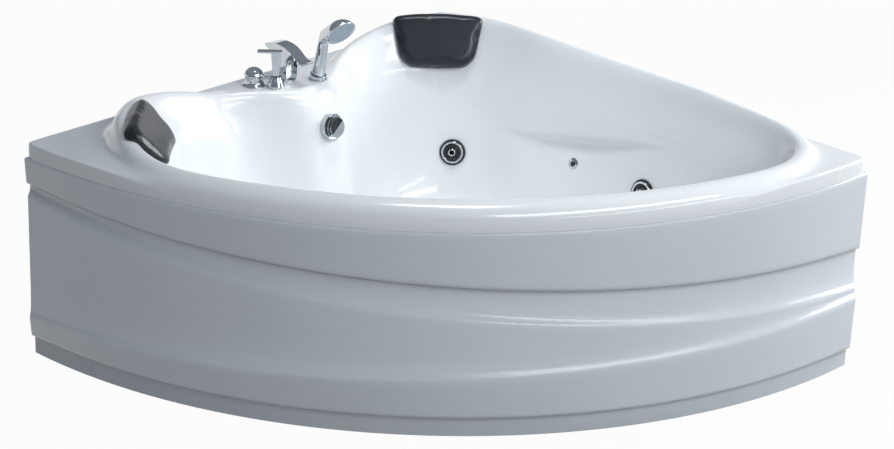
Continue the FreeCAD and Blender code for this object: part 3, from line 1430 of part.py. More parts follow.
def suction_cover():
    """Domed safety cover with slots, held by a middle screw."""
    low = SUCTION_FLANGE + FIT
    rim = low + COVER_RIM

    def dome(radius, crown):
        return revolved([(0, low), (radius, low), (radius, rim), dome_step(radius, rim, crown)])

    crown = rim + COVER_DOME
    cover = dome(COVER_RADIUS, crown).cut(dome(COVER_RADIUS - COVER_WALL, crown - COVER_WALL))
    slots = dome_slots(COVER_RADIUS, COVER_SLOTS, COVER_SLOT_WIDTH, COVER_SLOT_SHARES, crown + OVERRUN)
    screw = tube(COVER_SCREW_RADIUS, 0, crown - COVER_WALL - COVER_WALL, crown + COVER_WALL / 2)
    return stood(cover.cut(slots).fuse(screw).removeSplitter(), *suction_spot)


def ring_points():
    """Route of the pressure pipe round the basin, from the front jet to the right jet, past every stub."""
    skin_share = COVE_SHARES[-1][0]
    places = {}
    for turn in RING_TURNS:
        places[turn] = centre + heading(turn) * (between(rim, turn) * skin_share + RING_CLEARANCE)
    for turn, detour in zip(RING_DETOUR_TURNS, RING_DETOURS):
        places[turn] = centre + heading(turn) * (between(rim, turn) * skin_share + RING_CLEARANCE + detour)
    stubs = [stub_point(name) for name in JET_TURNS] + [mini_stub_point(name) for name in MINI_JET_TURNS]
    for spot in stubs + [discharge]:
        places[(direction(spot) + 90) % 360 - 90] = spot
    route = [Vector(places[turn].x, places[turn].y, raised(RING_HEIGHT_SHARE)) for turn in sorted(places, reverse=True)]
    first = route[0] + (route[0] - route[1]).normalize() * RING_END_RUN
    last = route[-1] + (route[-1] - route[-2]).normalize() * RING_END_RUN
    return [first] + route[1:-1] + [last]


def pressure_pipe():
    """Pipe that feeds every jet, capped at both ends, with a riser from the pump."""
    riser = rod(PIPE_RADIUS, Vector(discharge.x, discharge.y, riser_foot), discharge_top)
    return ring_solid.fuse(riser).removeSplitter()


def pump_volute():
    """Wet end of the pump: round casing, inlet at the front, outlet at the top."""
    casing = tube(VOLUTE_RADIUS, 0, 0, VOLUTE_WIDTH)
    casing = casing.makeFillet(VOLUTE_ROUND, [edge for edge in casing.Edges if edge.Closed])
    inlet = tube(PIPE_RADIUS + PIPE_WALL, 0, -PUMP_INLET_LENGTH, VOLUTE_WIDTH / 2)
    casing = stood(casing.fuse(inlet), pump_front, Vector(0, 1, 0), Vector(1, 0, 0))
    outlet = rod(PIPE_RADIUS + PIPE_WALL, Vector(discharge.x, discharge.y, PUMP_HEIGHT),
                 Vector(discharge.x, discharge.y, riser_foot))
    mouth = stood(tube(PIPE_RADIUS, 0, -PUMP_INLET_LENGTH - OVERRUN, 0), pump_front, Vector(0, 1, 0), Vector(1, 0, 0))
    return casing.fuse(outlet).removeSplitter().cut(mouth)


def pump_motor():
    """Finned motor with its terminal box and cable gland; the cable is not part of it."""
    along = Vector(0, 1, 0)
    body = tube(MOTOR_RADIUS, 0, 0, MOTOR_LENGTH)
    fins = []
    for fin in range(MOTOR_FINS):
        groove = bar(MOTOR_RADIUS - FIN_DEPTH, MOTOR_RADIUS + OVERRUN, -FIN_WIDTH / 2, FIN_WIDTH / 2,
                     VOLUTE_ROUND, MOTOR_LENGTH - VOLUTE_ROUND)
        fins.append(stood(groove, Vector(), up, heading(360 * (fin + FIN_START_SHARE) / MOTOR_FINS)))
    body = body.cut(fins)
    bearing = tube(FAN_SHAFT_RADIUS + FIT, 0, MOTOR_LENGTH - FAN_SHAFT_DEPTH - FIT, MOTOR_LENGTH + OVERRUN)
    motor = stood(body.cut(bearing), motor_front, along, Vector(1, 0, 0))
    box_x = motor_front.x - MOTOR_RADIUS
    box_y = motor_front.y + (MOTOR_LENGTH - TERMINAL_LENGTH) / 2
    top = PUMP_HEIGHT + TERMINAL_WIDTH / 2
    terminal = bar(box_x - TERMINAL_HEIGHT / 2, box_x + TERMINAL_HEIGHT / 2, box_y, box_y + TERMINAL_LENGTH,
                   top - TERMINAL_WIDTH, top)
    gland_foot = Vector(box_x - TERMINAL_HEIGHT / 4, box_y + TERMINAL_LENGTH, PUMP_HEIGHT)
    gland = rod(GLAND_RADIUS, gland_foot, gland_foot + along * GLAND_LENGTH)
    hole = rod(GLAND_BORE, gland_foot, gland_foot + along * (GLAND_LENGTH + OVERRUN))
    return motor.fuse([terminal, gland]).removeSplitter().cut(hole)


def pump_fan():
    """Cooling fan on the end of the motor's shaft."""
    low = MOTOR_LENGTH + FAN_GAP
    fan = tube(FAN_HUB_RADIUS, 0, low, low + FAN_WIDTH)
    shaft = tube(FAN_SHAFT_RADIUS, 0, MOTOR_LENGTH - FAN_SHAFT_DEPTH, low)
    blade = bar(0, FAN_RADIUS, -FAN_BLADE_THICKNESS / 2, FAN_BLADE_THICKNESS / 2, low, low + FAN_WIDTH)
    blades = [stood(blade, Vector(), up, heading(360 * k / FAN_BLADES)) for k in range(FAN_BLADES)]
    return stood(fan.fuse(blades + [shaft]).removeSplitter(), motor_front, Vector(0, 1, 0), Vector(1, 0, 0))


def pump_fan_cover():
    """Cup over the fan with slots in its end."""
    low = MOTOR_LENGTH
    high = low + FAN_COVER_LENGTH
    inner = MOTOR_RADIUS - FAN_COVER_WALL
    cup = revolved([
        (inner, low), (MOTOR_RADIUS, low), (MOTOR_RADIUS, high), (0, high), (0, high - FAN_COVER_WALL),
        (inner, high - FAN_COVER_WALL)])
    slots = dome_slots(inner, FAN_COVER_SLOTS, FAN_COVER_SLOT_WIDTH, FAN_COVER_SLOT_SHARES, OVERRUN)
    for slot in slots:
        slot.Placement.Base = up * high
    return stood(cup.cut(slots), motor_front, Vector(0, 1, 0), Vector(1, 0, 0))


def pump_base():
    """Plate on four rubber feet, with two saddles under the motor."""
    start = motor_front.y + (MOTOR_LENGTH - PUMP_PLATE_LENGTH) / 2
    low_x = motor_front.x - PUMP_PLATE_WIDTH / 2
    plate_top = PUMP_FOOT_HEIGHT + PUMP_PLATE
    base = bar(low_x, low_x + PUMP_PLATE_WIDTH, start, start + PUMP_PLATE_LENGTH, PUMP_FOOT_HEIGHT, plate_top)
    pieces = []
    for share in SADDLE_SHARES:
        middle = motor_front.y + share * MOTOR_LENGTH
        pieces.append(bar(motor_front.x - SADDLE_SPAN / 2, motor_front.x + SADDLE_SPAN / 2,
                          middle - SADDLE_WIDTH / 2, middle + SADDLE_WIDTH / 2, PUMP_FOOT_HEIGHT, PUMP_HEIGHT))
    for x in (low_x + PUMP_FOOT_RADIUS, low_x + PUMP_PLATE_WIDTH - PUMP_FOOT_RADIUS):
        for y in (start + PUMP_FOOT_RADIUS, start + PUMP_PLATE_LENGTH - PUMP_FOOT_RADIUS):
            pieces.append(rod(PUMP_FOOT_RADIUS, Vector(x, y, 0), Vector(x, y, PUMP_FOOT_HEIGHT)))
    bed = rod(MOTOR_RADIUS, motor_front - Vector(0, OVERRUN, 0), motor_front + Vector(0, MOTOR_LENGTH + OVERRUN, 0))
    return base.fuse(pieces).removeSplitter().cut(bed)


def suction_pipe():
    """Pipe from under the suction fitting to the pump's inlet."""
    drop = suction_drop() - up * (SUCTION_TUBE_RADIUS + SUCTION_FLANGE)
    inlet = pump_front - Vector(0, PUMP_INLET_LENGTH, 0)
    elbow = inlet - Vector(0, PIPE_BEND + PIPE_BEND, 0)
    return pipe([drop, Vector(drop.x, drop.y, inlet.z), elbow, inlet], PIPE_RADIUS, PIPE_WALL, PIPE_BEND)


# Overflow, drain and trap


def overflow_drop():
    """Point on the overflow's axis that its pipe drops from."""
    place, inward, _ = overflow_spot
    return place - inward * OVERFLOW_STUB_DEPTH


def overflow_body():
    """Elbow behind the wall that the overflow pipe hangs from, with the knob's spindle bearing."""
    place, inward, side = overflow_spot
    body = tube(OVERFLOW_BODY_RADIUS, 0, -OVERFLOW_BODY_DEPTH, 0)
    bore = tube(OVERFLOW_BODY_RADIUS - PIPE_WALL, OVERFLOW_SPINDLE + PIPE_WALL, JET_END_WALL - OVERFLOW_BODY_DEPTH,
                OVERRUN)
    bearing = tube(OVERFLOW_SPINDLE + FIT, 0, JET_END_WALL - OVERFLOW_BODY_DEPTH, OVERRUN)
    drop = overflow_drop()
    foot = drop - up * (OVERFLOW_BODY_RADIUS + OVERFLOW_PIPE_RADIUS)
    stub = rod(OVERFLOW_PIPE_RADIUS, drop, foot)
    way = rod(OVERFLOW_PIPE_RADIUS - PIPE_WALL, drop - up * OVERFLOW_BODY_RADIUS, foot - up * OVERRUN)
    return stood(body, place, inward, side).fuse(stub).removeSplitter().cut([
        stood(bore, place, inward, side), stood(bearing, place, inward, side), way])


def overflow_ring():
    """Ring round the knob, clamped to the wall, open to the water at its foot."""
    ring = tube(OVERFLOW_RING_RADIUS, OVERFLOW_RING_RADIUS - OVERFLOW_RING_WALL, 0, OVERFLOW_RING_DEPTH)
    seat = tube(OVERFLOW_RING_RADIUS, OVERFLOW_BODY_RADIUS, 0, OVERFLOW_RING_WALL)
    return stood(ring.fuse(seat).removeSplitter(), *overflow_spot)


def overflow_knob():
    """Turning disc with a half-round finger scoop, on a spindle in the overflow's bearing."""
    low = OVERFLOW_RING_DEPTH + KNOB_DISC_GAP
    high = low + KNOB_DISC_THICKNESS
    disc = revolved([
        (0, low), (KNOB_DISC_RADIUS, low), (KNOB_DISC_RADIUS, (low + high) / 2),
        (KNOB_DISC_RADIUS - KNOB_DISC_GAP, high), (0, high)])
    spindle = tube(OVERFLOW_SPINDLE, 0, JET_END_WALL + FIT - OVERFLOW_BODY_DEPTH, low)
    reach = KNOB_DISC_RADIUS - KNOB_DISC_RIM
    scoop = tube(reach, 0, high - KNOB_SCOOP_DEPTH, high + OVERRUN)
    scoop = scoop.common(bar(-reach, reach, 0, reach, low, high + OVERRUN))
    scoop = stood(scoop, Vector(), up, heading(KNOB_SCOOP_TURN))
    return stood(disc.cut(scoop).fuse(spindle).removeSplitter(), *overflow_spot)


def overflow_pipe():
    """Pipe from the overflow down the back of the basin and under it to the drain."""
    start = overflow_drop() - up * (OVERFLOW_BODY_RADIUS + OVERFLOW_PIPE_RADIUS)
    corner = Vector(start.x, start.y, OVERFLOW_INLET_HEIGHT)
    drain = Vector(DRAIN_PLACE.x, DRAIN_PLACE.y, OVERFLOW_INLET_HEIGHT)
    end = drain + (corner - drain).normalize() * DRAIN_BODY_RADIUS
    return pipe([start, corner, end], OVERFLOW_PIPE_RADIUS, PIPE_WALL, PIPE_BEND).cut(drain_envelope())


def drain_envelope():
    """Outside of the drain's body, filled."""
    return rod(DRAIN_BODY_RADIUS, DRAIN_PLACE - up * DRAIN_DEPTH, DRAIN_PLACE)


def drain_body():
    """Drain: flange on the floor, body under it with the overflow's inlet and the waste outlet, plug guide."""
    body = revolved([
        (0, -DRAIN_DEPTH), (DRAIN_BODY_RADIUS, -DRAIN_DEPTH), (DRAIN_BODY_RADIUS, 0),
        (DRAIN_FLANGE_RADIUS, 0), (DRAIN_FLANGE_RADIUS, DRAIN_FLANGE / 2),
        (PLUG_RADIUS + FIT, DRAIN_FLANGE), (0, DRAIN_FLANGE)])
    bore = tube(DRAIN_BORE_RADIUS, 0, DRAIN_END_WALL - DRAIN_DEPTH, DRAIN_FLANGE + OVERRUN)
    hollow = body.cut(bore)
    guide_foot = -PLUG_STEM_LENGTH
    guide = tube(PLUG_STEM_RADIUS + PLUG_GUIDE_WALL, PLUG_STEM_RADIUS + FIT, guide_foot, guide_foot / 2)
    web_reach = DRAIN_BORE_RADIUS + PIPE_WALL / 2
    webs = []
    for turn in (0, 120, 240):
        web = bar(PLUG_STEM_RADIUS + PLUG_GUIDE_WALL / 2, web_reach, -PIPE_WALL / 2, PIPE_WALL / 2,
                  guide_foot, guide_foot / 2)
        webs.append(stood(web, Vector(), up, heading(turn)))
    whole = stood(hollow.fuse([guide] + webs).removeSplitter(), DRAIN_PLACE, up, heading(0))
    overflow_start = overflow_drop()
    inlet_level = Vector(DRAIN_PLACE.x, DRAIN_PLACE.y, OVERFLOW_INLET_HEIGHT)
    toward = Vector(overflow_start.x, overflow_start.y, OVERFLOW_INLET_HEIGHT)
    reach = (toward - inlet_level).normalize() * (DRAIN_BODY_RADIUS + OVERRUN)
    waste_level = Vector(DRAIN_PLACE.x, DRAIN_PLACE.y, WASTE_HEIGHT)
    return whole.cut([
        rod(OVERFLOW_PIPE_RADIUS - PIPE_WALL, inlet_level + reach / 2, inlet_level + reach),
        rod(WASTE_RADIUS - PIPE_WALL, waste_level, waste_level + Vector(0, DRAIN_BODY_RADIUS + OVERRUN, 0))])


def drain_plug():
    """Pop-up plug: crowned disc on a stem in the drain's guide."""
    low = DRAIN_FLANGE + PLUG_REST_GAP
    high = low + PLUG_THICKNESS
    plug = revolved([
        (0, low), (PLUG_RADIUS, low), (PLUG_RADIUS, high), dome_step(PLUG_RADIUS, high, high + PLUG_CROWN)])
    stem = tube(PLUG_STEM_RADIUS, 0, -PLUG_STEM_LENGTH - PLUG_STEM_RADIUS, low)
    return stood(plug.fuse(stem).removeSplitter(), DRAIN_PLACE, up, heading(0))


def trap_pipe():
    """Waste pipe with a running trap, from the drain to its open end near the wall."""
    start = Vector(DRAIN_PLACE.x, DRAIN_PLACE.y, WASTE_HEIGHT)
    dip = start - up * TRAP_DIP

    def along(base, distance):
        return base + Vector(0, distance, 0)

    first = DRAIN_BODY_RADIUS + TRAP_SLOPE_RUN
    second = first + TRAP_SLOPE_RUN
    third = second + TRAP_RUN
    fourth = third + TRAP_SLOPE_RUN
    end = Vector(start.x, half - WASTE_END_GAP, WASTE_HEIGHT)
    points = [along(start, DRAIN_BODY_RADIUS), along(start, first), along(dip, second), along(dip, third),
              along(start, fourth), end]
    return pipe(points, WASTE_RADIUS, PIPE_WALL, WASTE_BEND).cut(drain_envelope())


# The basin's surface, and what is set out on it

rim = rim_line()
shell_net = [shell_section(point) for point in shell_stations()]
basin = spline_net(shell_net, True, False)
wall_rows = len(shell_net[0]) - len(FRONT_ROLL_SHARES) - 1
jet_spots = {name: seat_spot(JET_TURNS[name], raised(JET_HEIGHT_SHARES[name])) for name in JET_TURNS}
mini_spots = {name: seat_spot(MINI_JET_TURNS[name], raised(MINI_JET_HEIGHT_SHARE)) for name in MINI_JET_TURNS}
suction_spot = seat_spot(SUCTION_TURN, raised(SUCTION_HEIGHT_SHARE))
overflow_spot = seat_spot(OVERFLOW_TURN, DECK_HEIGHT - OVERFLOW_DROP)
tap_places = [MIXER_PLACE, DIVERTER_PLACE, SPOUT_PLACE, SHOWER_PLACE]

pump_reach = between(rim, PUMP_TURN) * COVE_SHARES[-1][0] + RING_CLEARANCE
discharge = centre + heading(PUMP_TURN) * pump_reach
discharge_top = Vector(discharge.x, discharge.y, raised(RING_HEIGHT_SHARE))
riser_foot = PUMP_HEIGHT + VOLUTE_RADIUS + PIPE_WALL
pump_front = Vector(discharge.x, discharge.y - VOLUTE_WIDTH / 2, PUMP_HEIGHT)
motor_front = pump_front + Vector(0, VOLUTE_WIDTH, 0)
ring_solid = swept(bent_path(ring_points(), PIPE_BEND + PIPE_BEND), PIPE_RADIUS)

PIECES = {
    "tub_shell": tub_shell, "base_board": base_board, "front_skirt": front_skirt, "plinth_strip": plinth_strip,
    "wall_rails": wall_rails, "front_rail": front_rail, "cross_rails": cross_rails, "uprights": uprights,
    "top_rails": top_rails, "skirt_brackets": skirt_brackets, "foot_studs": foot_studs, "foot_nuts": foot_nuts,
    "foot_pads": foot_pads, "tap_nuts": tap_nuts, "mixer_body": mixer_body, "mixer_cap": mixer_cap,
    "mixer_pin": mixer_pin, "mixer_lever": mixer_lever, "diverter_body": diverter_body,
    "diverter_knob": diverter_knob, "spout": spout, "shower_holder": shower_holder, "shower_handle": shower_handle,
    "shower_head": shower_head, "shower_face": shower_face, "jet_nuts": jet_nuts,
    "mini_jet_bodies": mini_jet_bodies, "mini_jet_caps": mini_jet_caps, "suction_body": suction_body,
    "suction_cover": suction_cover, "suction_pipe": suction_pipe, "pressure_pipe": pressure_pipe,
    "pump_volute": pump_volute, "pump_motor": pump_motor, "pump_fan": pump_fan, "pump_fan_cover": pump_fan_cover,
    "pump_base": pump_base, "overflow_body": overflow_body, "overflow_ring": overflow_ring,
    "overflow_knob": overflow_knob, "overflow_pipe": overflow_pipe, "drain_body": drain_body,
    "drain_plug": drain_plug, "trap_pipe": trap_pipe}


def export(name, shape):
    """Write one piece and print its solids and volume."""
    shape.exportStep("parts/" + name + ".step")
    print(name, len(shape.Solids), round(shape.Volume), shape.isValid())


os.makedirs("parts", exist_ok=True)
for piece_name, make in PIECES.items():
    export(piece_name, make())
export("headrest_back", headrest(BACK_HEADREST_TURN))
export("headrest_left", headrest(LEFT_HEADREST_TURN))
for jet_name in JET_TURNS:
    export("jet_body_" + jet_name, jet_body(jet_name))
    export("jet_face_" + jet_name, jet_face(jet_name))
    export("jet_nozzle_" + jet_name, jet_nozzle(jet_name))
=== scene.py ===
import json
import math

import bpy
from mathutils import Matrix, Vector


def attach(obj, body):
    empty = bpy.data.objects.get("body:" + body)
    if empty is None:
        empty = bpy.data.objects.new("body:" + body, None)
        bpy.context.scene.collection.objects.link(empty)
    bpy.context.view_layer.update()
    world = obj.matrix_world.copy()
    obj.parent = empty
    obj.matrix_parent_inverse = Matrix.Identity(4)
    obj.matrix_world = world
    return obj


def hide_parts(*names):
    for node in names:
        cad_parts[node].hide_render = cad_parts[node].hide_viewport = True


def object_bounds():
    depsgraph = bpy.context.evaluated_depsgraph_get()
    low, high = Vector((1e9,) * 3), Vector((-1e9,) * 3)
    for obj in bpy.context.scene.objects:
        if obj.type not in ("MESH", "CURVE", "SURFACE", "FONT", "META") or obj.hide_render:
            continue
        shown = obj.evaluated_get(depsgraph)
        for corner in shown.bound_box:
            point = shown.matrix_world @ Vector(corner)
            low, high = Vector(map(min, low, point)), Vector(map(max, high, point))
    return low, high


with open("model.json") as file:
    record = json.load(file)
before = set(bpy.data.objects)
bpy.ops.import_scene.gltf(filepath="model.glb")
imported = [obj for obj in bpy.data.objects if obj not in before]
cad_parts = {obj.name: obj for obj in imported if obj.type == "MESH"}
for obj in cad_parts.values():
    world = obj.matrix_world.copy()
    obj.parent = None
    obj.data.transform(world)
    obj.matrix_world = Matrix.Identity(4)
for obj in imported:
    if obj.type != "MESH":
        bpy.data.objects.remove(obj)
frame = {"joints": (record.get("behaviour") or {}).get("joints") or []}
cad_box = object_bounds()

# Steel frame under the tub
# Square tube rails and posts, cut and welded, then sprayed with a grey primer.
# The rails lie under the base board and carry it, and the posts carry the rim and the skirt.


class Shade:
    """A socket of a finish's node tree, with Python's operators for its maths."""

    def __init__(self, tree, socket=None):
        self.tree = tree
        self.socket = socket

    def node(self, kind, settings=None, values=None, output=0):
        """Add a node: its settings first, then the values or links of its sockets."""
        made = self.tree.nodes.new(kind)
        for name, value in (settings or {}).items():
            if name == "stops":
                ramp = made.color_ramp.elements
                while len(ramp) < len(value):
                    ramp.new(1.0)
                for stop, (place, tone) in zip(ramp, value):
                    stop.position = place
                    stop.color = (*tone, 1.0)
            else:
                setattr(made, name, value)
        for name, value in (values or {}).items():
            if isinstance(value, Shade):
                self.tree.links.new(value.socket, made.inputs[name])
            else:
                made.inputs[name].default_value = value
        return Shade(self.tree, made.outputs[output])

    def maths(self, operation, first, second):
        return self.node("ShaderNodeMath", {"operation": operation}, {0: first, 1: second})

    def __add__(self, other):
        return self.maths("ADD", self, other)

    def __radd__(self, other):
        return self.maths("ADD", other, self)

    def __sub__(self, other):
        return self.maths("SUBTRACT", self, other)

    def __rsub__(self, other):
        return self.maths("SUBTRACT", other, self)

    def __mul__(self, other):
        return self.maths("MULTIPLY", self, other)

    def __rmul__(self, other):
        return self.maths("MULTIPLY", other, self)

    def __lt__(self, other):
        return self.maths("LESS_THAN", self, other)

    def __gt__(self, other):
        return self.maths("GREATER_THAN", self, other)


def finish(name, constants):
    """A new material with constants on its Principled shader; its tree, and its place on the piece."""
    material = bpy.data.materials.new(name)
    material.use_nodes = True
    tree = Shade(material.node_tree)
    skin = material.node_tree.nodes["Principled BSDF"]
    for socket, value in constants.items():
        skin.inputs[socket].default_value = value
    place = tree.node("ShaderNodeTexCoord", output="Object")
    return material, tree, place


def feed(material, socket, shade):
    """Link a varying value to a socket of the finish's Principled shader."""
    skin = material.node_tree.nodes["Principled BSDF"]
    material.node_tree.links.new(shade.socket, skin.inputs[socket])


def cloudy(tree, place, scale, detail=3.0, roughness=0.5):
    """Soft noise from 0 to 1 over the piece, scale in features per metre."""
    values = {"Vector": place, "Scale": scale, "Detail": detail, "Roughness": roughness}
    return tree.node("ShaderNodeTexNoise", {}, values)


def tinted(tree, share, dark, light):
    """A colour between two tones, by a share from 0 to 1."""
    return tree.node(
        "ShaderNodeMix", {"data_type": "RGBA"}, {0: share, 6: (*dark, 1.0), 7: (*light, 1.0)}, output=2
    )


def bumped(tree, height, strength, depth, edge=0.0):
    """A bump of so many metres for the Normal socket, with edges rounded by a radius where one is given."""
    values = {"Height": height, "Strength": strength, "Distance": depth}
    if edge:
        values["Normal"] = tree.node("ShaderNodeBevel", {"samples": 4}, {"Radius": edge})
    return tree.node("ShaderNodeBump", {}, values)


def dress(material, *nodes):
    """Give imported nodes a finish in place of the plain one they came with."""
    for node in nodes:
        mesh = bpy.data.objects[node].data
        mesh.materials.clear()
        mesh.materials.append(material)


primer, tree, place = finish("frame primer", {"Metallic": 0.0})
blotch = cloudy(tree, place, 9.0)
spray = cloudy(tree, place, 420.0, 2.0)
feed(primer, "Base Color", tinted(tree, blotch, (0.23, 0.25, 0.26), (0.30, 0.32, 0.33)))
feed(primer, "Roughness", 0.5 + 0.2 * blotch)
feed(primer, "Normal", bumped(tree, spray, 0.3, 0.0006))
dress(primer, "wall_rails", "front_rail", "cross_rails", "uprights", "top_rails")

# Feet and brackets
# Threaded studs with lock nuts stand in rubber pads and level the frame, and bent clips hold the skirt.
# Zinc-plated steel, with the cloudy yellow-grey look that bright zinc takes.

zinc, tree, place = finish("zinc plating", {"Metallic": 1.0})
blotch = cloudy(tree, place, 60.0)
feed(zinc, "Base Color", tinted(tree, blotch, (0.55, 0.55, 0.52), (0.72, 0.72, 0.70)))
feed(zinc, "Roughness", 0.25 + 0.25 * blotch)
feed(zinc, "Normal", bumped(tree, cloudy(tree, place, 900.0), 0.2, 0.0002))
dress(zinc, "foot_studs", "foot_nuts", "skirt_brackets")

rubber, tree, place = finish("black rubber", {"Specular IOR Level": 0.35})
dust = cloudy(tree, place, 40.0)
feed(rubber, "Base Color", tinted(tree, dust, (0.018, 0.018, 0.019), (0.045, 0.045, 0.046)))
feed(rubber, "Roughness", 0.62 + 0.25 * dust)
feed(rubber, "Normal", bumped(tree, cloudy(tree, place, 700.0), 0.4, 0.0004))
dress(rubber, "foot_pads")

# Base board
# Sealed board bonded under the basin floor, which takes the load to the rails.
# Its faces are rolled with white glass-fibre resin, so fine strands show in the coat.

resin, tree, place = finish("resin-coated board", {})
strands = tree.node(
    "ShaderNodeTexNoise", {}, {"Vector": place, "Scale": 160.0, "Detail": 5.0, "Distortion": 2.5}
)
stain = cloudy(tree, place, 5.0)
feed(resin, "Base Color", tinted(tree, stain, (0.62, 0.62, 0.57), (0.76, 0.76, 0.72)))
feed(resin, "Roughness", 0.35 + 0.3 * strands)
feed(resin, "Normal", bumped(tree, strands, 0.5, 0.0008))
dress(resin, "base_board")

# Tub shell
# One sheet of white acrylic, softened and drawn over a mould, so basin, arm rest, rim and deck
# are one skin. It is polished in the mould and keeps a clear gloss with a very faint ripple.

acrylic, tree, place = finish("white acrylic", {"IOR": 1.49, "Coat Roughness": 0.04})
ripple = cloudy(tree, place, 26.0, 2.0)
haze = cloudy(tree, place, 3.5, 4.0)
feed(acrylic, "Base Color", tinted(tree, haze, (0.80, 0.82, 0.835), (0.845, 0.862, 0.873)))
feed(acrylic, "Roughness", 0.16 + 0.08 * haze)
feed(acrylic, "Coat Weight", 0.35 + 0.15 * haze)
feed(acrylic, "Normal", bumped(tree, ripple, 0.03, 0.0010))
dress(acrylic, "tub_shell")

# Front skirt and plinth
# The skirt is a second drawn acrylic sheet with three sweeping waves, clipped to the posts under
# the rim. The plinth strip below it is plain acrylic, set back to leave room for toes. Both finishes
# take a base colour darker and bluer than the shell's, as painted shade; the plinth's is darker still.
# The gloss shows the waves strongly, so the finish leans the normals of the solid's waves further.

wave_relief = 3.4
skirt_skin_with_painted_shade, tree, place = finish("skirt acrylic with painted shade", {"IOR": 1.49, "Coat Roughness": 0.05})
haze = cloudy(tree, place, 3.0, 4.0)
ripple = cloudy(tree, place, 22.0, 2.0)
# Painted shade: the base colour is the shell's white acrylic made darker and bluer, for the shade on the
# skirt's face; the haze noise varies it at random.
feed(skirt_skin_with_painted_shade, "Base Color", tinted(tree, haze, (0.65, 0.68, 0.715), (0.69, 0.72, 0.755)))
feed(skirt_skin_with_painted_shade, "Roughness", 0.17 + 0.08 * haze)
feed(skirt_skin_with_painted_shade, "Coat Weight", 0.55 + 0.20 * haze)
soft_edges = bumped(tree, ripple, 0.03, 0.0010, edge=0.0015)
leaning = {axis: tree.node("ShaderNodeSeparateXYZ", {}, {0: soft_edges}, output=axis) for axis in "XYZ"}
leaning["Z"] = wave_relief * leaning["Z"]
crisp = tree.node("ShaderNodeCombineXYZ", {}, leaning)
feed(skirt_skin_with_painted_shade, "Normal", tree.node("ShaderNodeVectorMath", {"operation": "NORMALIZE"}, {0: crisp}))
dress(skirt_skin_with_painted_shade, "front_skirt")

plinth_skin_with_painted_shade, tree, place = finish("plinth acrylic with painted shade", {"IOR": 1.49, "Coat Roughness": 0.1})
scuff = cloudy(tree, place, 5.0, 5.0)
# Painted shade: the plinth's base colour is darker again, for the shade under the skirt; the scuff noise
# varies it at random.
feed(plinth_skin_with_painted_shade, "Base Color", tinted(tree, scuff, (0.54, 0.565, 0.595), (0.60, 0.625, 0.655)))
feed(plinth_skin_with_painted_shade, "Roughness", 0.26 + 0.14 * scuff)
feed(plinth_skin_with_painted_shade, "Coat Weight", 0.15 + 0.15 * scuff)
feed(plinth_skin_with_painted_shade, "Normal", bumped(tree, cloudy(tree, place, 22.0, 2.0), 0.03, 0.0010, edge=0.0015))
dress(plinth_skin_with_painted_shade, "plinth_strip")

# Headrests
# Foam pillows with a smooth charcoal skin, one hung over the back corner and one over the left end.
# The foam swells under its skin: a nearly flat front, a round shoulder, and a back laid on the acrylic.

pillow_voxel = 0.004
pillow_top = 0.062
pillow_back = -0.024
pillow_front_inset = 0.004
pillow_taper = 0.22
pillow_arch = 0.012
pillow_bottom_corner = 0.048
pillow_shoulder = 0.011
pillow_rounding = 5
pillow_evening = 16
pillow_swell = 0.004
pillow_pressure = 4.0
pillow_frames = 20
pillow_seat_gap = 0.004
pillow_free_gap = 0.016
pillow_clearance = 0.0012
pillow_facing = 0.5
top_segments = 4
bottom_segments = 8
shoulder_segments = 4
smoothing_share = 0.5
ray_start = 0.3


def bevelled(piece, wanted, offset, segments):
    """Round those edges of a piece whose two ends are the wanted ones."""
    bpy.ops.object.mode_set(mode="EDIT")
    bpy.ops.mesh.select_mode(type="EDGE")
    bpy.ops.mesh.select_all(action="DESELECT")
    bpy.ops.object.mode_set(mode="OBJECT")
    for edge in piece.data.edges:
        first, second = (piece.data.vertices[corner].co for corner in edge.vertices)
        edge.select = wanted(first, second)
    bpy.ops.object.mode_set(mode="EDIT")
    bpy.ops.mesh.bevel(offset=offset, offset_type="OFFSET", segments=segments, affect="EDGES")
    bpy.ops.object.mode_set(mode="OBJECT")


def swollen(piece):
    """Fill a pillow by pressure; a point moves less the nearer it lies to the shell."""
    filling = piece.modifiers.new("filling", "CLOTH")
    filling.settings.use_pressure = True
    filling.settings.uniform_pressure_force = pillow_pressure
    filling.settings.effector_weights.gravity = 0.0
    for moment in range(1, pillow_frames + 1):
        bpy.context.scene.frame_set(moment)
    filled = piece.evaluated_get(bpy.context.evaluated_depsgraph_get()).data
    goals = [vertex.co.copy() for vertex in filled.vertices]
    piece.modifiers.remove(filling)
    bpy.context.scene.frame_set(1)
    shell = bpy.data.objects["tub_shell"]
    for vertex, goal in zip(piece.data.vertices, goals):
        _, seat, _, _ = shell.closest_point_on_mesh(vertex.co)
        gap = (vertex.co - seat).length
        free = min(max((gap - pillow_seat_gap) / (pillow_free_gap - pillow_seat_gap), 0.0), 1.0)
        move = goal - vertex.co
        move.length = min(move.length, pillow_swell * free)
        vertex.co += move


def seated(piece):
    """Lift any point of a pillow that lies nearer to the shell than its clearance."""
    shell = bpy.data.objects["tub_shell"]
    for vertex in piece.data.vertices:
        _, seat, outward, _ = shell.closest_point_on_mesh(vertex.co)
        if (vertex.co - seat).dot(outward) < pillow_clearance:
            vertex.co = seat + outward * pillow_clearance


def rounded(piece, rounds):
    """Even out the surface of a piece by a number of smoothing rounds."""
    evened = piece.modifiers.new("evened", "SMOOTH")
    evened.factor = smoothing_share
    evened.iterations = rounds
    bpy.ops.object.modifier_apply(modifier=evened.name)


def skinned(piece):
    """Refine a piece's faces once and shade them smooth."""
    finer = piece.modifiers.new("skin", "SUBSURF")
    finer.levels = 1
    finer.render_levels = 1
    bpy.ops.object.modifier_apply(modifier=finer.name)
    bpy.ops.object.shade_smooth()


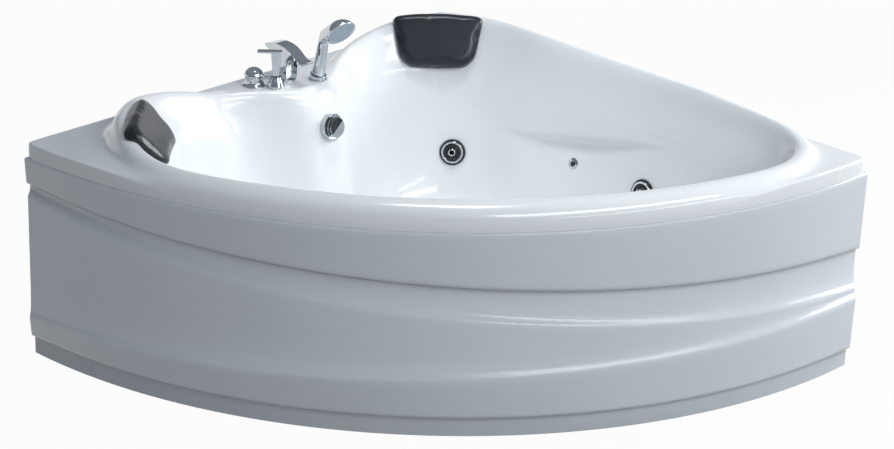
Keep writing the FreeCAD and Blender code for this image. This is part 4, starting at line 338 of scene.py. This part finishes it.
def pillow(node, lean, lift, top_corner):
    """A padded slab in the space of a headrest's solid, its back laid on the shell.

    The front leans by a slope, the bottom edge is lifted, and the top corners have a radius.
    """
    shell = bpy.data.objects["tub_shell"]
    solid = bpy.data.objects[node].data
    middle = sum((vertex.co for vertex in solid.vertices), Vector()) / len(solid.vertices)
    _, _, outward, _ = shell.closest_point_on_mesh(middle)
    fronts = [face for face in solid.polygons if face.normal.dot(outward) > pillow_facing]
    outward = sum((face.normal * face.area for face in fronts), Vector()).normalized()
    across = Vector((0, 0, 1)).cross(outward).normalized()
    turned = Matrix((across, outward.cross(across), outward)).transposed().to_4x4()
    place = Matrix.Translation(middle) @ turned
    away = place.inverted()
    flat = [away @ vertex.co for vertex in solid.vertices]
    left = min(point.x for point in flat)
    right = max(point.x for point in flat)
    bottom = min(point.y for point in flat) + lift
    front = max(point.z for point in flat) - pillow_front_inset

    bpy.ops.object.select_all(action="DESELECT")
    bpy.ops.mesh.primitive_cube_add(size=1.0)
    piece = bpy.context.object
    piece.name = node + "_pillow"
    bpy.ops.object.mode_set(mode="EDIT")
    bpy.ops.mesh.select_all(action="SELECT")
    bpy.ops.transform.resize(value=(right - left, pillow_top - bottom, front - pillow_back))
    bpy.ops.transform.translate(
        value=((right + left) / 2, (pillow_top + bottom) / 2, (front + pillow_back) / 2)
    )
    bpy.ops.object.mode_set(mode="OBJECT")
    half = (front - pillow_back) / 2
    bevelled(piece, lambda a, b: abs(a.z - b.z) > half and a.y > 0, top_corner, top_segments)
    bevelled(piece, lambda a, b: abs(a.z - b.z) > half and a.y < 0, pillow_bottom_corner, bottom_segments)
    bevelled(piece, lambda a, b: min(a.z, b.z) > front - half, pillow_shoulder, shoulder_segments)
    piece.data.remesh_voxel_size = pillow_voxel
    bpy.ops.object.voxel_remesh()
    for vertex in piece.data.vertices:
        rise = (vertex.co.y - bottom) / (pillow_top - bottom)
        vertex.co.y -= pillow_arch * rise * (2 * vertex.co.x / (right - left)) ** 2
        vertex.co.x *= 1 - pillow_taper * (1 - rise)
    rounded(piece, pillow_rounding)
    for vertex in piece.data.vertices:
        met, seat, _, _ = shell.ray_cast(place @ Vector((vertex.co.x, vertex.co.y, ray_start)), -outward)
        floor = max((away @ seat).z if met else pillow_back, pillow_back) + pillow_clearance
        share = (vertex.co.z - pillow_back) / (front - pillow_back)
        height = floor + share * (front - lean * vertex.co.y - floor)
        vertex.co = place @ Vector((vertex.co.x, vertex.co.y, height))
    swollen(piece)
    rounded(piece, pillow_evening)
    seated(piece)
    skinned(piece)
    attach(piece, "tub")
    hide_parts(node)
    return piece


charcoal, tree, place = finish("charcoal skin", {"IOR": 1.4, "Coat Roughness": 0.14})
grain = tree.node(
    "ShaderNodeTexVoronoi", {"feature": "DISTANCE_TO_EDGE"}, {"Vector": place, "Scale": 520.0}
)
wear = cloudy(tree, place, 14.0)
feed(charcoal, "Base Color", tinted(tree, wear, (0.005, 0.010, 0.016), (0.011, 0.018, 0.026)))
feed(charcoal, "Roughness", 0.26 + 0.14 * wear)
feed(charcoal, "Coat Weight", 0.22 + 0.08 * wear)
feed(charcoal, "Normal", bumped(tree, grain, 0.25, 0.0005))
pillow_forms = {"headrest_back": (0.0, 0.0, 0.016), "headrest_left": (0.10, 0.012, 0.034)}
for node, (lean, lift, top_corner) in pillow_forms.items():
    dress(charcoal, node)
    headrest = pillow(node, lean, lift, top_corner)
    headrest.data.materials.clear()
    headrest.data.materials.append(charcoal)

# Taps
# Cast brass bodies, ground, polished and chrome plated, each clamped through the deck by a back nut.
# The lever, the knob and the hand shower move; below the deck the shanks and nuts are bare brass.

chrome, tree, place = finish("chrome plate", {"Metallic": 1.0})
film = cloudy(tree, place, 45.0)
feed(chrome, "Base Color", tinted(tree, film, (0.50, 0.53, 0.56), (0.60, 0.63, 0.66)))
feed(chrome, "Roughness", 0.05 + 0.06 * film)
feed(chrome, "Normal", bumped(tree, cloudy(tree, place, 130.0), 0.04, 0.0004, edge=0.0008))
dress(chrome, "mixer_body", "mixer_cap", "mixer_lever", "mixer_pin", "diverter_body", "diverter_knob")
dress(chrome, "spout", "shower_holder", "shower_handle", "shower_head")

spray_turn = math.radians(-98.7)
spray_drop = math.radians(34.0)
shower_shoulder = 0.690
shower_rim = 0.007
shower_voxel = 0.0018
shower_rounding = 14


def shower_casting():
    """Handle and head of the hand shower as one casting: their solids and a hull over the elbow."""
    bpy.ops.object.select_all(action="DESELECT")
    for node in ("shower_handle", "shower_head"):
        half = bpy.data.objects.new("shower_casting", bpy.data.objects[node].data.copy())
        bpy.context.scene.collection.objects.link(half)
        half.select_set(True)
        bpy.context.view_layer.objects.active = half
    bpy.ops.object.join()
    piece = bpy.context.object
    bpy.ops.object.duplicate()
    elbow = bpy.context.object
    level = math.cos(spray_drop)
    spray = Vector((math.cos(spray_turn) * level, math.sin(spray_turn) * level, -math.sin(spray_drop)))
    mouth = max(vertex.co.dot(spray) for vertex in bpy.data.objects["shower_head"].data.vertices)
    bpy.ops.object.mode_set(mode="EDIT")
    bpy.ops.mesh.select_mode(type="VERT")
    bpy.ops.mesh.select_all(action="DESELECT")
    bpy.ops.object.mode_set(mode="OBJECT")
    for vertex in elbow.data.vertices:
        vertex.select = vertex.co.z > shower_shoulder and mouth - vertex.co.dot(spray) > shower_rim
    bpy.ops.object.mode_set(mode="EDIT")
    bpy.ops.mesh.select_all(action="INVERT")
    bpy.ops.mesh.delete(type="VERT")
    bpy.ops.mesh.select_all(action="SELECT")
    bpy.ops.mesh.convex_hull()
    bpy.ops.object.mode_set(mode="OBJECT")
    piece.select_set(True)
    bpy.context.view_layer.objects.active = piece
    bpy.ops.object.join()
    piece.name = "shower_casting"
    piece.data.remesh_voxel_size = shower_voxel
    bpy.ops.object.voxel_remesh()
    rounded(piece, shower_rounding)
    skinned(piece)
    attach(piece, "hand_shower")
    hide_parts("shower_handle", "shower_head")
    return piece


casting = shower_casting()
casting.data.materials.clear()
casting.data.materials.append(chrome)

brass, tree, place = finish("bare brass", {"Metallic": 1.0})
tarnish = cloudy(tree, place, 70.0)
feed(brass, "Base Color", tinted(tree, tarnish, (0.52, 0.37, 0.14), (0.76, 0.58, 0.27)))
feed(brass, "Roughness", 0.24 + 0.24 * tarnish)
feed(brass, "Normal", bumped(tree, cloudy(tree, place, 800.0), 0.2, 0.0002))
dress(brass, "tap_nuts")

spray_plate, tree, place = finish("spray plate", {"IOR": 1.5})
film = cloudy(tree, place, 90.0)
feed(spray_plate, "Base Color", tinted(tree, film, (0.27, 0.33, 0.40), (0.36, 0.42, 0.49)))
feed(spray_plate, "Roughness", 0.28 + 0.15 * film)
feed(spray_plate, "Normal", bumped(tree, cloudy(tree, place, 900.0), 0.1, 0.0002))
dress(spray_plate, "shower_face")

# Overflow and drain
# A chrome ring and turning knob over the overflow hole, cabled to the pop-up plug in the floor drain.
# The bodies behind the shell and the pipes are grey moulded plastic, pushed together and sealed.

dress(chrome, "overflow_ring", "drain_plug")

hinges = {joint["name"]: joint for joint in frame["joints"]}
knob_hub = Vector(hinges["overflow_turn"]["pos_m"])
knob_axis = Vector(hinges["overflow_turn"]["axis"])
scoop_turn = math.radians(35.0)
scoop_level = 0.0297
scoop_depth = 0.006
scoop_edge = 0.0005
level_side = Vector((0.0, 0.0, 1.0)).cross(knob_axis).normalized()
scoop_side = math.cos(scoop_turn) * knob_axis.cross(level_side) - math.sin(scoop_turn) * level_side
# Painted shade: inside the scoop, a recess in the knob's face, the finish turns near-black and not
# metallic, standing in for the shade there.
knob_chrome, tree, place = finish("chrome knob with painted shade in scoop", {})
offset = tree.node("ShaderNodeVectorMath", {"operation": "SUBTRACT"}, {0: place, 1: knob_hub})
along = {"operation": "DOT_PRODUCT"}
aside = tree.node("ShaderNodeVectorMath", along, {0: offset, 1: scoop_side}, output="Value")
height = tree.node("ShaderNodeVectorMath", along, {0: offset, 1: knob_axis}, output="Value")
scoop_shade_mask = (aside > scoop_edge) * (height < scoop_level) * (height > scoop_level - scoop_depth)
film = cloudy(tree, place, 45.0)
plate = tinted(tree, film, (0.50, 0.53, 0.56), (0.60, 0.63, 0.66))
# Near-black of the painted shade in the scoop.
scoop_painted_shade = (0.016, 0.019, 0.022, 1.0)
knob_tone_with_painted_shade = tree.node(
    "ShaderNodeMix", {"data_type": "RGBA"}, {0: scoop_shade_mask, 6: plate, 7: scoop_painted_shade}, output=2
)
feed(knob_chrome, "Base Color", knob_tone_with_painted_shade)
feed(knob_chrome, "Metallic", 1 - scoop_shade_mask)
feed(knob_chrome, "Roughness", 0.05 + 0.06 * film + 0.2 * scoop_shade_mask)
dress(knob_chrome, "overflow_knob")

pipe_grey, tree, place = finish("grey pipe", {"IOR": 1.5})
scuff = cloudy(tree, place, 24.0, 5.0)
feed(pipe_grey, "Base Color", tinted(tree, scuff, (0.46, 0.47, 0.48), (0.58, 0.59, 0.60)))
feed(pipe_grey, "Roughness", 0.34 + 0.22 * scuff)
feed(pipe_grey, "Normal", bumped(tree, cloudy(tree, place, 500.0), 0.12, 0.0003))
dress(pipe_grey, "overflow_body", "overflow_pipe", "trap_pipe", "suction_pipe", "pressure_pipe")
dress(chrome, "drain_body")

# Hydro jets and suction
# Each jet is a body clamped through the wall, a chromed face ring that turns and a nozzle ball that tilts.
# The suction cover is a slotted plate; behind the wall the bodies are white moulded plastic.

jet_white, tree, place = finish("jet plastic", {"IOR": 1.5})
cloud = cloudy(tree, place, 30.0)
feed(jet_white, "Base Color", tinted(tree, cloud, (0.60, 0.61, 0.61), (0.70, 0.71, 0.71)))
feed(jet_white, "Roughness", 0.30 + 0.18 * cloud)
feed(jet_white, "Normal", bumped(tree, cloudy(tree, place, 700.0), 0.12, 0.0002))

# Painted shade: jet faces, nozzles and grip rings are painted near-black, standing in for the shade in each
# jet's dished face, its nozzle hole and the groove round its chrome ring; the mini-jet caps take the same
# finish.
jet_near_black_painted_shade, tree, place = finish("jet near-black with painted recess shade", {"IOR": 1.5})
cloud = cloudy(tree, place, 120.0)
feed(jet_near_black_painted_shade, "Base Color", tinted(tree, cloud, (0.010, 0.012, 0.015), (0.022, 0.026, 0.031)))
feed(jet_near_black_painted_shade, "Roughness", 0.26 + 0.2 * cloud)
feed(jet_near_black_painted_shade, "Normal", bumped(tree, cloudy(tree, place, 900.0), 0.12, 0.0002))

grip_section = (0.0312, 0.0362, 0.0045, 0.0094)
bezel_section = (0.0245, 0.0310, 0.0080, 0.0138)
collar_section = (0.0066, 0.0104, 0.0165, 0.0230)
ring_soft = 0.0016
ring_segments = 4
ring_steps = 72
ring_weld = 0.00001
ring_crease = math.radians(50.0)


def turned_ring(name, body, hinge, section):
    """A ring with softened edges, spun about a joint's axis from its inner, outer, low and high sizes."""
    inner, outer, low, high = section
    bpy.ops.object.select_all(action="DESELECT")
    bpy.ops.mesh.primitive_plane_add(size=1.0)
    piece = bpy.context.object
    piece.name = name
    bpy.ops.object.mode_set(mode="EDIT")
    bpy.ops.transform.resize(value=(outer - inner, high - low, 1.0))
    quarter = math.radians(-90.0)
    bpy.ops.transform.rotate(value=quarter, orient_axis="X", center_override=(0.0, 0.0, 0.0))
    bpy.ops.transform.translate(value=((inner + outer) / 2, 0.0, (low + high) / 2))
    bpy.ops.mesh.bevel(offset=ring_soft, segments=ring_segments, affect="VERTICES")
    bpy.ops.mesh.delete(type="ONLY_FACE")
    bpy.ops.mesh.select_all(action="SELECT")
    bpy.ops.mesh.spin(
        steps=ring_steps, angle=math.tau, center=(0.0, 0.0, 0.0), axis=(0.0, 0.0, 1.0)
    )
    bpy.ops.mesh.select_all(action="SELECT")
    bpy.ops.mesh.remove_doubles(threshold=ring_weld)
    bpy.ops.mesh.normals_make_consistent(inside=False)
    bpy.ops.object.mode_set(mode="OBJECT")
    bpy.ops.object.shade_smooth_by_angle(angle=ring_crease)
    piece.rotation_mode = "QUATERNION"
    piece.rotation_quaternion = Vector(hinge["axis"]).to_track_quat("Z", "Y")
    piece.location = hinge["pos_m"]
    bpy.ops.object.transform_apply(location=True, rotation=True, scale=True)
    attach(piece, body)
    return piece


for jet in ("corner", "right", "left", "front"):
    dress(jet_white, "jet_body_" + jet)
    dress(jet_near_black_painted_shade, "jet_face_" + jet, "jet_nozzle_" + jet)
    hinge = hinges["face_turn_" + jet]
    # The grip ring sits in the groove round the chrome ring and takes the near-black painted shade.
    grip = turned_ring("jet_grip_" + jet, "face_" + jet, hinge, grip_section)
    grip.data.materials.append(jet_near_black_painted_shade)
    bezel = turned_ring("jet_bezel_" + jet, "face_" + jet, hinge, bezel_section)
    bezel.data.materials.append(chrome)
    collar = turned_ring("jet_collar_" + jet, "nozzle_" + jet, hinge, collar_section)
    collar.data.materials.append(chrome)
dress(jet_white, "jet_nuts", "suction_body")
dress(chrome, "mini_jet_bodies", "suction_cover")
dress(jet_near_black_painted_shade, "mini_jet_caps")

# Pump
# A wet end of black plastic bolted to a finned motor, with a fan under the rear cover.
# It stands on rubber feet on its base plate, between the frame's rails.

pump_black, tree, place = finish("pump plastic", {"IOR": 1.5})
cloud = cloudy(tree, place, 26.0)
feed(pump_black, "Base Color", tinted(tree, cloud, (0.022, 0.023, 0.025), (0.042, 0.044, 0.047)))
feed(pump_black, "Roughness", 0.36 + 0.22 * cloud)
feed(pump_black, "Normal", bumped(tree, cloudy(tree, place, 600.0), 0.2, 0.0003))
dress(pump_black, "pump_volute", "pump_fan", "pump_fan_cover", "pump_base")

motor_grey, tree, place = finish("motor paint", {"IOR": 1.5})
cloud = cloudy(tree, place, 30.0)
feed(motor_grey, "Base Color", tinted(tree, cloud, (0.13, 0.16, 0.19), (0.18, 0.21, 0.24)))
feed(motor_grey, "Roughness", 0.34 + 0.2 * cloud)
feed(motor_grey, "Normal", bumped(tree, cloudy(tree, place, 520.0), 0.25, 0.0004))
dress(motor_grey, "pump_motor")

# Floor, light and camera
# A pale studio floor and a pale wall far round it. The soft key lamp is low at the right, a long lamp
# and a low strip stand in front, and a small lamp hangs over the basin.
# The camera stands at the photograph's angle, a little above the rim.

stage_radius = 28.0
wall_height = 7.0
bpy.ops.object.select_all(action="DESELECT")
bpy.ops.mesh.primitive_circle_add(
    vertices=96, radius=stage_radius, fill_type="NGON", location=(0.0, 0.0, cad_box[0][2])
)
floor = bpy.context.object
floor.name = "studio_floor"
bpy.ops.object.mode_set(mode="EDIT")
bpy.ops.mesh.region_to_loop()
bpy.ops.mesh.extrude_edges_move(TRANSFORM_OT_translate={"value": (0.0, 0.0, wall_height)})
bpy.ops.object.mode_set(mode="OBJECT")
bpy.ops.object.transform_apply(location=True)
floor_paint, tree, place = finish("studio paint", {"Roughness": 0.9})
brushed = cloudy(tree, place, 1.5)
feed(floor_paint, "Base Color", tinted(tree, brushed, (0.44, 0.45, 0.46), (0.47, 0.48, 0.49)))
ray_kinds = ("Is Camera Ray", "Is Glossy Ray", "Is Transmission Ray")
camera_ray, glossy_ray, clear_ray = (tree.node("ShaderNodeLightPath", output=kind) for kind in ray_kinds)
seen = camera_ray + glossy_ray + clear_ray
whiteness = 0.965
white = tree.node("ShaderNodeEmission", {}, {"Color": (1.0, 1.0, 1.0, 1.0), "Strength": 1.0})
floor_nodes = floor_paint.node_tree.nodes
painted = Shade(floor_paint.node_tree, floor_nodes["Principled BSDF"].outputs[0])
shown = tree.node("ShaderNodeMixShader", {}, {0: whiteness * seen, 1: painted, 2: white})
floor_paint.node_tree.links.new(shown.socket, floor_nodes["Material Output"].inputs["Surface"])
floor.data.materials.append(floor_paint)

studio = bpy.data.worlds.new("studio")
bpy.context.scene.world = studio
studio.use_nodes = True
tree = Shade(studio.node_tree)
direction = tree.node("ShaderNodeTexCoord", output="Generated")
up = tree.node("ShaderNodeSeparateXYZ", {}, {0: direction}, output="Z")
dome = tree.node(
    "ShaderNodeValToRGB",
    {"stops": [(0.0, (0.12, 0.137, 0.157)), (0.3, (0.225, 0.25, 0.282)), (0.8, (0.305, 0.33, 0.36))]},
    {"Fac": up},
)
studio.node_tree.links.new(dome.socket, studio.node_tree.nodes["Background"].inputs["Color"])


def soft_lamp(name, place, target, size, power, tint, spread=180.0):
    """A soft lamp, width by height, aimed at a point, its beam spread in degrees."""
    bpy.ops.object.light_add(type="AREA", location=place)
    lamp = bpy.context.object
    lamp.name = name
    lamp.data.shape = "RECTANGLE"
    lamp.data.size, lamp.data.size_y = size
    lamp.data.energy = power
    lamp.data.color = tint
    lamp.data.spread = math.radians(spread)
    lamp.rotation_euler = (Vector(target) - Vector(place)).to_track_quat("-Z", "Y").to_euler()


soft_lamp("key_lamp", (2.7, -1.3, 1.7), (0.0, 0.2, 0.45), (1.2, 1.2), 58.0, (0.99, 1.0, 1.0))
soft_lamp("front_lamp", (-0.1, -2.9, 3.2), (0.0, 0.0, 0.3), (3.4, 0.7), 62.0, (0.95, 0.98, 1.0))
soft_lamp("strip_lamp", (0.3, -3.8, 2.2), (0.0, 0.0, 0.3), (3.6, 0.22), 20.0, (0.95, 0.98, 1.0))
soft_lamp("basin_lamp", (0.30, 0.20, 2.7), (0.20, 0.16, 0.3), (0.6, 0.6), 2.2, (0.97, 0.99, 1.0), 44.0)

azimuth = math.radians(-47.15)
height = math.radians(22.25)
roll = math.radians(1.79)
distance = 7.015
photo_width = 894
focal_pixels = 2688.0
looked_at = Vector((0.1424, 0.1304, 0.300))
outreach = math.cos(height)
back = Vector((math.sin(azimuth) * outreach, -math.cos(azimuth) * outreach, math.sin(height)))
level = Vector((math.cos(azimuth), math.sin(azimuth), 0.0))
upright = back.cross(level)
right = math.cos(roll) * level + math.sin(roll) * upright
top = -math.sin(roll) * level + math.cos(roll) * upright
bpy.ops.object.camera_add()
camera = bpy.context.object
facing = Matrix((right, top, back)).transposed().to_4x4()
camera.matrix_world = Matrix.Translation(looked_at + distance * back) @ facing
camera.data.sensor_width = 36.0
camera.data.lens = focal_pixels * camera.data.sensor_width / photo_width
bpy.context.scene.camera = camera
bpy.context.scene.view_settings.view_transform = "Standard"
